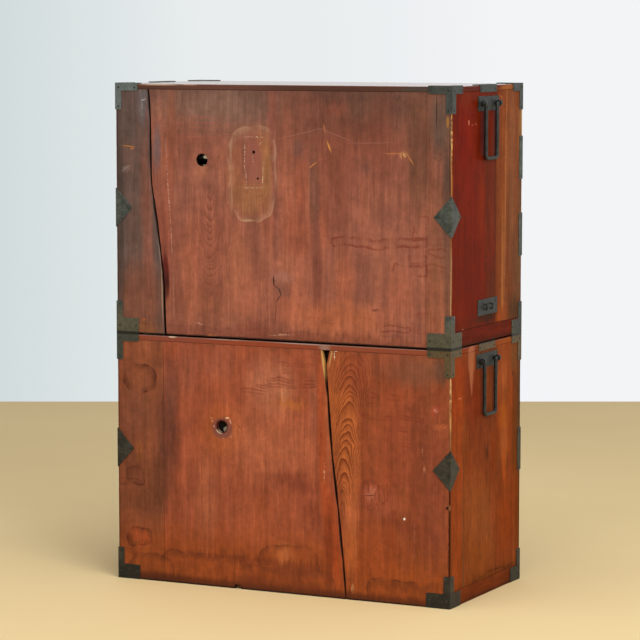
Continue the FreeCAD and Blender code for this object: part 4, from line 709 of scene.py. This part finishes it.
def finished(node, finish, rounding):
    """A CAD piece kept as it is, with its finish and with its arrises eased."""
    piece = cad[node]
    for place in piece.material_slots:
        place.material = finish
    weld = piece.modifiers.new("weld", "WELD")
    weld.merge_threshold = 0.01 * MM
    ease = piece.modifiers.new("eased arrises", "BEVEL")
    ease.width, ease.segments, ease.limit_method = rounding, 2, "ANGLE"
    ease.angle_limit, ease.use_clamp_overlap = math.radians(35), True
    piece.modifiers.new("flat faces", "WEIGHTED_NORMAL")
    return piece


# Soot and dust behind the back, darkened further to near black as painted shade, and painted light where a little
# light falls through the holes onto the wood behind them.
SAWN = ("#8f6c48", "#9c7850", "#8a6642")
soot_and_painted_shade = [(0, BACK, 900, 17, 0, "#140d09", 1, 0.1)]
painted_gleams = [(181, 936, 8, 4.6, 0, "#e6dcc0", 1, 0.2), (182, 918, 8, 2.8, 0, "#d8c8a4", 1, 0.2),
          (135, 346, 8, 6.5, 30, "#b4a68c", 1, 0.2)]
bare_cedar = lacquered_cedar("sawn_cedar", "XY", "X", SAWN, (0, 900, 14, 6, 0), soot_and_painted_shade, rim=painted_gleams,
                             rim_at=(179, 3), show_rings=0.3, roughness=0.7, skin=(0, 0, 0))
edged_cedar = lacquered_cedar("sawn_cedar_with_stained_edge", "XZ", "X", ("#7a3a20", "#864224", "#7c3b20"),
                              (0, 2400, 14, 6, 0), bare="#a07a52", skin=(FAR, BACK - 4, FAR))
for section in ("lower", "upper"):
    finished(f"{section}_bottom_board", bare_cedar, 0.8 * MM)
    finished(f"{section}_shelf_boards", bare_cedar, 0.6 * MM)
    finished(f"{section}_drawer_rails", edged_cedar, 0.8 * MM)

# ------------------------------------------------------------------------------------------- corner caps, plates
# Thin sheet iron, cut with shears, folded over the corners and edges and nailed. Its black lacquer has weathered to a
# dull grey green, blackest near the floor, with brown rust specks. The black line along the seam is painted shade.


def weathered_iron(name, tones, patches=(), side_patches=(), metal=0.35, roughness=0.52, rust=0.6):
    """Iron, rolled or forged and lacquered black, now matt, mottled and grey, with rust. patches lie on the back
    and front, side_patches on the sides."""
    material = bpy.data.materials.new(name)
    material.use_nodes = True
    tree = material.node_tree
    shader = tree.nodes["Principled BSDF"]
    at = add(tree, "VectorMath", {"operation": "SCALE"}, {0: add(tree, "TexCoord", out=3), "Scale": 1000})
    mottle = add(tree, "TexNoise", None, {"Vector": at, "Scale": 0.06, "Detail": 6, "Roughness": 0.7})
    share = add(tree, "MapRange", None, {0: mottle, 1: 0.38, 2: 0.62})
    colour = add(tree, "Mix", {"data_type": "RGBA"}, {0: share, 6: linear(tones[0]), 7: linear(tones[1])}, out=2)
    colour = patched(tree, colour, at, "XZ", patches)
    colour = patched(tree, colour, at, "YZ", side_patches)
    grit = add(tree, "TexNoise", None, {"Vector": at, "Scale": 0.15, "Detail": 6, "Roughness": 0.75})
    share = add(tree, "MapRange", None, {0: grit, 1: 0.34, 2: 0.66, 3: 0.7, 4: 1.28})
    colour = add(tree, "HueSaturation", None, {"Color": colour, "Value": share})
    rusty = add(tree, "TexNoise", None, {"Vector": at, "Scale": 0.12, "Detail": 6, "Roughness": 0.75})
    share = add(tree, "MapRange", None, {0: rusty, 1: 0.56, 2: 0.68, 3: 0, 4: rust})
    colour = add(tree, "Mix", {"data_type": "RGBA"}, {0: share, 6: colour, 7: linear(tones[2])}, out=2)
    tree.links.new(colour, shader.inputs["Base Color"])
    relief = add(tree, "Math", {"operation": "MULTIPLY_ADD"}, {0: mottle, 1: 2, 2: grit})
    bump = add(tree, "Bump", None, {"Strength": 0.5, "Distance": 0.5 * MM, "Height": relief})
    tree.links.new(bump, shader.inputs["Normal"])
    worn = add(tree, "MapRange", None, {0: rusty, 1: 0.35, 2: 0.65, 3: roughness - 0.1, 4: roughness + 0.15})
    tree.links.new(worn, shader.inputs["Roughness"])
    shader.inputs["Metallic"].default_value = metal
    shader.inputs["Specular IOR Level"].default_value = 0.4
    return material


# The last patch of each list, a near-black line along the seam, is painted shade between the upper and lower caps.
lower_plate_stains_and_seam_shade = [(0, 0, 900, 40, 0, "#17130b", 0.75, 0.5), (0, 530, 900, 40, 0, "#443a26", 0.6, 0.6),
                      (-400, 520, 60, 44, 0, "#64502f", 0.6, 0.6), (400, 500, 70, 60, 0, "#3c433d", 0.6, 0.6),
                      (0, 546, 900, 2.4, 0, "#0f0c08", 0.9, 0.4)]
upper_plate_stains_and_seam_shade = [(0, 556, 900, 44, 0, "#4d4733", 0.8, 0.4), (-400, 1080, 70, 60, 0, "#31322e", 0.6, 0.6),
                      (400, 1080, 70, 60, 0, "#666e6c", 0.7, 0.6), (400, 580, 60, 24, 0, "#5a5544", 0.5, 0.6),
                      (0, 548, 900, 3, 0, "#0f0c08", 0.9, 0.4)]
plate_iron = {
    "lower": weathered_iron("weathered_sheet_iron_lower", ("#211e17", "#413c30", "#4a3826"),
                            lower_plate_stains_and_seam_shade, [(-185, 10, 60, 40, 0, "#191812", 0.6, 0.4)]),
    "upper": weathered_iron("weathered_sheet_iron_upper", ("#32352f", "#53574f", "#453a2c"),
                            upper_plate_stains_and_seam_shade, [(-190, 575, 50, 50, 0, "#30322a", 0.9, 0.3)]),
}
hinge_iron = weathered_iron("weathered_plate_iron", ("#1c1e1c", "#3a3c37", "#3f3127"))
for section in ("lower", "upper"):
    for node in (f"{section}_corner_caps", f"{section}_edge_plates"):
        aged(node, plate_iron[section], 5 * MM, 0.4 * MM, sway=0.9 * MM, corners=2.5 * MM)
    aged(f"{section}_handle_plates", hinge_iron, 6 * MM, 0.4 * MM, sway=0.4 * MM)
aged("upper_catch_plates", hinge_iron, 6 * MM, 0.4 * MM, sway=0.4 * MM)

# ------------------------------------------------------------------------------------------- nails
# Hand-forged iron nails with low domed heads hold every plate. They are blacker than the sheet round them.
nail_iron = weathered_iron("forged_nail_iron", ("#23241f", "#3c3e37", "#3f3127"), metal=0.5, roughness=0.42)
NAIL_RADIUS, NAIL_CROWN = 2.5 * MM, 1.15 * MM


def islands(bm):
    """The separate solids of a mesh, each a list of its vertices."""
    seen, found = set(), []
    for first in bm.verts:
        if first not in seen:
            seen.add(first)
            island, front = [first], [first]
            while front:
                vert = front.pop()
                for edge in vert.link_edges:
                    other = edge.other_vert(vert)
                    if other not in seen:
                        seen.add(other)
                        island.append(other)
                        front.append(other)
            found.append(island)
    return found


def domed_heads(node):
    """Each nail of a CAD node as a low, slightly uneven dome."""
    cut = bmesh.new()
    cut.from_mesh(cad[node].data)
    bmesh.ops.remove_doubles(cut, verts=cut.verts, dist=0.002 * MM)
    heads = bmesh.new()
    for number, island in enumerate(islands(cut)):
        low = Vector([min(vert.co[i] for vert in island) for i in range(3)])
        high = Vector([max(vert.co[i] for vert in island) for i in range(3)])
        size, middle = high - low, (low + high) / 2
        axis = min(range(3), key=lambda i: size[i])
        outward = math.copysign(1, middle[axis])
        seat = middle.copy()
        seat[axis] -= outward * size[axis] / 2
        radius = NAIL_RADIUS * (1 + 0.08 * noise.noise(middle * 700))
        dome = bmesh.ops.create_icosphere(heads, subdivisions=2, radius=radius)["verts"]
        squat = [1, 1, 1]
        squat[axis] = NAIL_CROWN / radius
        bmesh.ops.scale(heads, vec=squat, verts=dome)
        bmesh.ops.translate(heads, vec=seat, verts=dome)
    cut.free()
    return heads


def set_out(bm, name, body, finish, slot, *replaced):
    """Makes a bmesh a smooth piece that rides on a body."""
    bmesh.ops.recalc_face_normals(bm, faces=bm.faces)
    mesh = bpy.data.meshes.new(name)
    bm.to_mesh(mesh)
    bm.free()
    mesh.shade_smooth()
    mesh.materials.append(finish)
    piece = bpy.data.objects.new(name, mesh)
    bpy.context.scene.collection.objects.link(piece)
    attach(piece, body)
    if replaced:
        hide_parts(*replaced)
    return piece


for section in ("lower", "upper"):
    node = f"{section}_nails"
    set_out(domed_heads(node), f"{section}_nail_heads", body_of[node], nail_iron, "iron", node)

# ------------------------------------------------------------------------------------------- side handles
# A heavy drop handle on each side, forged from round bar. Its ends turn in two eyes that are driven through
# an oblong plate. The upper one's place is under a guard that keeps ropes off the wood.
handle_iron = weathered_iron("forged_bar_iron", ("#1e1f1d", "#343633", "#3f3127"), metal=0.5, roughness=0.45)
SIDE_HANDLE = dict(rod=8 * MM, legs=60 * MM, drop=116 * MM, corner=8 * MM, bend=5 * MM, end=12 * MM)
HANDLE_OUT, HANDLE_HINGES = 408.5, {"lower": 508, "upper": 1054}


def forged_bail(hinge, along, rod, legs, drop, corner, bend, end):
    """A round bar bent to a drop handle: an end through each eye, two legs and a grip. It hangs from its hinge
    line, which runs along an axis."""
    bm = bmesh.new()
    heading = -Vector(along)
    square = Vector(along).cross(Vector((0, 0, 1)))
    spot = Vector(hinge) + Vector(along) * (legs / 2 + bend + end)
    ring = bmesh.ops.create_circle(bm, segments=16, radius=rod / 2)["verts"]
    bmesh.ops.rotate(bm, verts=ring, matrix=heading.to_track_quat("Z", "Y").to_matrix())
    bmesh.ops.translate(bm, verts=ring, vec=spot)
    first = last = [edge for edge in bm.edges]
    leg, grip = drop - bend - corner, legs - 2 * corner
    for kind, size, sign in (("on", end, 0), ("turn", bend, 1), ("on", leg, 0), ("turn", corner, -1),
                             ("on", grip, 0), ("turn", corner, -1), ("on", leg, 0), ("turn", bend, 1),
                             ("on", end, 0)):
        if kind == "on":
            steps = max(2, round(size / (5 * MM)))
            for _ in range(steps):
                grown = bmesh.ops.extrude_edge_only(bm, edges=last)["geom"]
                verts = [part for part in grown if isinstance(part, bmesh.types.BMVert)]
                last = [part for part in grown if isinstance(part, bmesh.types.BMEdge)
                        and all(vert in verts for vert in part.verts)]
                bmesh.ops.translate(bm, verts=verts, vec=heading * size / steps)
            spot = spot + heading * size
        else:
            inward = sign * square.cross(heading)
            centre = spot + inward * size
            geom = last + list({vert for edge in last for vert in edge.verts})
            turned = bmesh.ops.spin(bm, geom=geom, cent=centre, axis=square * sign, angle=math.pi / 2, steps=6,
                                    use_merge=False, use_duplicate=False)["geom_last"]
            last = [part for part in turned if isinstance(part, bmesh.types.BMEdge)]
            spot, heading = centre + heading * size, inward
    for rim in (first, last):
        bmesh.ops.contextual_create(bm, geom=rim)
    bm.normal_update()
    for vert in bm.verts:
        vert.co += vert.normal * (0.22 * MM * noise.noise(vert.co / (14 * MM)) + 0.08 * MM *
                                  noise.noise(vert.co / (4 * MM)))
    bmesh.ops.bevel(bm, geom=[edge for edge in bm.edges if edge.calc_face_angle(0) > 1.2], offset=1.1 * MM,
                    segments=3, profile=0.5, affect="EDGES", material=-1)
    return bm


for section, hinge_z in HANDLE_HINGES.items():
    for hand, sign in (("left", -1), ("right", 1)):
        node = f"{section}_{hand}_handle"
        bail = forged_bail((sign * HANDLE_OUT * MM, 0, hinge_z * MM), (0, 1, 0), **SIDE_HANDLE)
        set_out(bail, f"{node}_bail", body_of[node], handle_iron, "iron", node)
    finished(f"{section}_handle_eyes", handle_iron, 0.7 * MM)

# ------------------------------------------------------------------------------------------- drawers
# Five full-width drawers: a stained and lacquered cedar front, with bare cedar walls and floor nailed and
# glued behind it. Each has two small drop pulls on oblong plates.
PULL = dict(rod=6 * MM, legs=78 * MM, drop=36 * MM, corner=7 * MM, bend=4 * MM, end=10 * MM)
PULL_ACROSS, PULL_OUT = 190, 195
# The side walls have their grain from front to back. They begin this far from the chest's middle.
WALL_FROM = 368.5
wall_cedar = lacquered_cedar("sawn_cedar_of_drawer_walls", "YZ", "Y", SAWN, (0, 900, 14, 6, 0), show_rings=0.3,
                             roughness=0.7, skin=(0, 0, 0))
for number in range(1, 6):
    low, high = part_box(f"drawer_{number}_front")
    foot, middle, head = low.z / MM, (low.z + high.z) / 2 / MM, high.z / MM
    # Where the pull knocks, where hands and cloths have rubbed the long arrises, and stray scratches.
    worn = [(-190, middle - 27, 34, 1.6, 0, "#4a2214", 0.7, 0.5),
            (190, middle - 26, 32, 1.6, 0, "#4a2214", 0.7, 0.5),
            (-190 + 9 * number, middle - 20, 26, 5, 0, "#91502e", 0.5, 0.6),
            (190 - 7 * number, middle - 19, 24, 5, 0, "#91502e", 0.5, 0.6),
            (240 - 90 * number, middle + 9 * number - 30, 26, 0.8, 0, "#b98a66", 0.7, 0.5),
            (-60 + 40 * number, middle - 18, 1.4, 9, 0, "#3c1a10", 0.7, 0.5),
            (330 - 40 * number, middle - 6 * number + 26, 18, 0.8, 0, "#b98a66", 0.6, 0.5)]
    rubbed_edges = [(-330 + 50 * number, foot + 1, 90, 1.5, 0, "#b07850", 0.7, 0.5),
                    (110 + 30 * number, foot + 1, 60, 1.2, 0, "#a86c48", 0.6, 0.5),
                    (200 - 60 * number, head - 1, 110, 1.5, 0, "#b07850", 0.7, 0.5),
                    (-250, head - 1, 60, 1.1, 0, "#a86c48", 0.6, 0.5),
                    (376, middle, 1.2, 70, 0, "#a86c48", 0.6, 0.6), (-376, middle, 1.2, 60, 0, "#a86c48", 0.6, 0.6)]
    front_finish = lacquered_cedar(
        f"drawer_{number}_lacquered_cedar", "XZ", "X", ("#78341d", "#874023", "#7d3820"),
        (60 * number - 170, middle - 260 + 40 * number, 10, 5.5, 0),
        [(0, middle, 300, 20, 0, "#7a3a22", 0.4, 0.8), (-190, foot + 30, 70, 40, 0, "#66301c", 0.5, 0.7),
         (190, foot + 30, 70, 40, 0, "#66301c", 0.5, 0.7), (0, foot, 400, 14, 0, "#5a2a18", 0.6, 0.6),
         (150 - 60 * number, middle + 20, 120, 26, 0, "#a0562e", 0.5, 0.7),
         (-260 + 50 * number, middle - 10, 90, 30, 0, "#8c4224", 0.5, 0.7)],
        scratches=worn, chips=rubbed_edges,
        clear=[(60 * number - 170, middle, 260, 50, 0, 0.25)], roughness=0.36, gloss=0.2, bare="#a07a52",
        skin=(FAR, 172.5, FAR))
    aged(f"drawer_{number}_front", front_finish, 9 * MM, 1.0 * MM, rows=2, wear=0.3 * MM)
    box = finished(f"drawer_{number}_box", bare_cedar, 0.6 * MM)
    box.data.materials.append(wall_cedar)
    for face in box.data.polygons:
        if abs(face.center.x) > WALL_FROM * MM:
            face.material_index = len(box.data.materials) - 1
    finished(f"drawer_{number}_ironwork", plate_iron["upper"], 0.3 * MM)
    for hand, sign in (("left", -1), ("right", 1)):
        node = f"drawer_{number}_{hand}_pull"
        low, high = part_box(node)
        hinge = (sign * PULL_ACROSS * MM, -PULL_OUT * MM, high.z - PULL["rod"] / 2)
        bail = forged_bail(hinge, (1, 0, 0), **PULL)
        set_out(bail, f"{node}_bail", body_of[node], handle_iron, "iron", node)

# ------------------------------------------------------------------------------------------- room
# A pale, slightly warm studio floor that stops a few metres behind the chest, a pale backdrop with painted light on
# it, darker to the left and brighter to the right as if lit from the right, a large soft lamp to the right of the
# camera, a weak one to its left and one overhead.
HEADING = Vector((0.4414, -0.8915, -0.1018))  # the way the camera looks
SIDEWAYS = HEADING.cross(Vector((0, 0, 1))).normalized()

floor_mesh = bmesh.new()
bmesh.ops.create_grid(floor_mesh, x_segments=1, y_segments=1, size=3.0)
bmesh.ops.rotate(floor_mesh, verts=floor_mesh.verts,
                 matrix=Matrix.Rotation(math.atan2(HEADING.y, HEADING.x), 3, "Z"))
floor_data = bpy.data.meshes.new("studio_floor")
floor_mesh.to_mesh(floor_data)
floor_mesh.free()
floor = bpy.data.objects.new("studio_floor", floor_data)
bpy.context.scene.collection.objects.link(floor)
boards = bpy.data.materials.new("pale_matt_floor")
boards.use_nodes = True
tree = boards.node_tree
spot = add(tree, "TexCoord", out=3)
drift = add(tree, "TexNoise", None, {"Vector": spot, "Scale": 1.3, "Detail": 3})
shade = add(tree, "Mix", {"data_type": "RGBA"}, {0: drift, 6: linear("#dac08c"), 7: linear("#e5cc9a")}, out=2)
tree.links.new(shade, tree.nodes["Principled BSDF"].inputs["Base Color"])
tree.nodes["Principled BSDF"].inputs["Roughness"].default_value = 0.75
tree.nodes["Principled BSDF"].inputs["Specular IOR Level"].default_value = 0.15
floor_data.materials.append(boards)

world = bpy.data.worlds.new("studio")
world.use_nodes = True
bpy.context.scene.world = world
tree = world.node_tree
way = add(tree, "TexCoord", out=0)
# Painted light on the backdrop: darker towards the left, brighter towards the right.
side = add(tree, "VectorMath", {"operation": "DOT_PRODUCT"}, {0: way, 1: SIDEWAYS}, out=1)
left = add(tree, "MapRange", None, {0: side, 1: -0.11, 2: -0.04})
right = add(tree, "MapRange", None, {0: side, 1: 0.0, 2: 0.07})
tone = add(tree, "Mix", {"data_type": "RGBA"}, {0: left, 6: linear("#d2dcdc"), 7: linear("#e9edee")}, out=2)
tone = add(tree, "Mix", {"data_type": "RGBA"}, {0: right, 6: tone, 7: linear("#f3f4f6")}, out=2)
rays = tree.nodes.new("ShaderNodeLightPath").outputs
seen = add(tree, "Math", {"operation": "MAXIMUM"}, {0: rays["Is Camera Ray"], 1: rays["Is Glossy Ray"]})
seen = add(tree, "Math", {"operation": "MAXIMUM"}, {0: seen, 1: rays["Is Transmission Ray"]})
ambient = tree.nodes["Background"]
ambient.inputs["Color"].default_value = linear("#f2f3f4")
ambient.inputs["Strength"].default_value = 0.5
backdrop = add(tree, "Background", None, {"Color": tone, "Strength": 1})
shown = add(tree, "MixShader", None, {0: seen, 1: ambient.outputs[0], 2: backdrop})
tree.links.new(shown, tree.nodes["World Output"].inputs["Surface"])


def soft_lamp(name, place, target, size, power):
    """A square soft box that faces a place."""
    lamp = bpy.data.lights.new(name, "AREA")
    lamp.size, lamp.energy = size, power
    holder = bpy.data.objects.new(name, lamp)
    holder.location = place
    holder.rotation_euler = (Vector(target) - Vector(place)).to_track_quat("-Z", "Y").to_euler()
    bpy.context.scene.collection.objects.link(holder)


soft_lamp("key_lamp", (-4.4, 3.6, 3.0), (0, 0, 0.5), 3.0, 175)
soft_lamp("fill_lamp", (2.6, 5.0, 2.5), (0, 0, 0.5), 2.5, 18)
soft_lamp("ceiling_lamp", (-1.0, 1.5, 4.5), (-0.6, 0.8, 0), 3.5, 130)

lens = bpy.data.cameras.new("camera")
lens.sensor_width, lens.lens = 36, 160.44
camera = bpy.data.objects.new("camera", lens)
camera.location = (-2.767, 5.583, 1.212)
camera.rotation_euler = HEADING.to_track_quat("-Z", "Y").to_euler()
bpy.context.scene.collection.objects.link(camera)
bpy.context.scene.camera = camera
bpy.context.scene.view_settings.view_transform = "Standard"
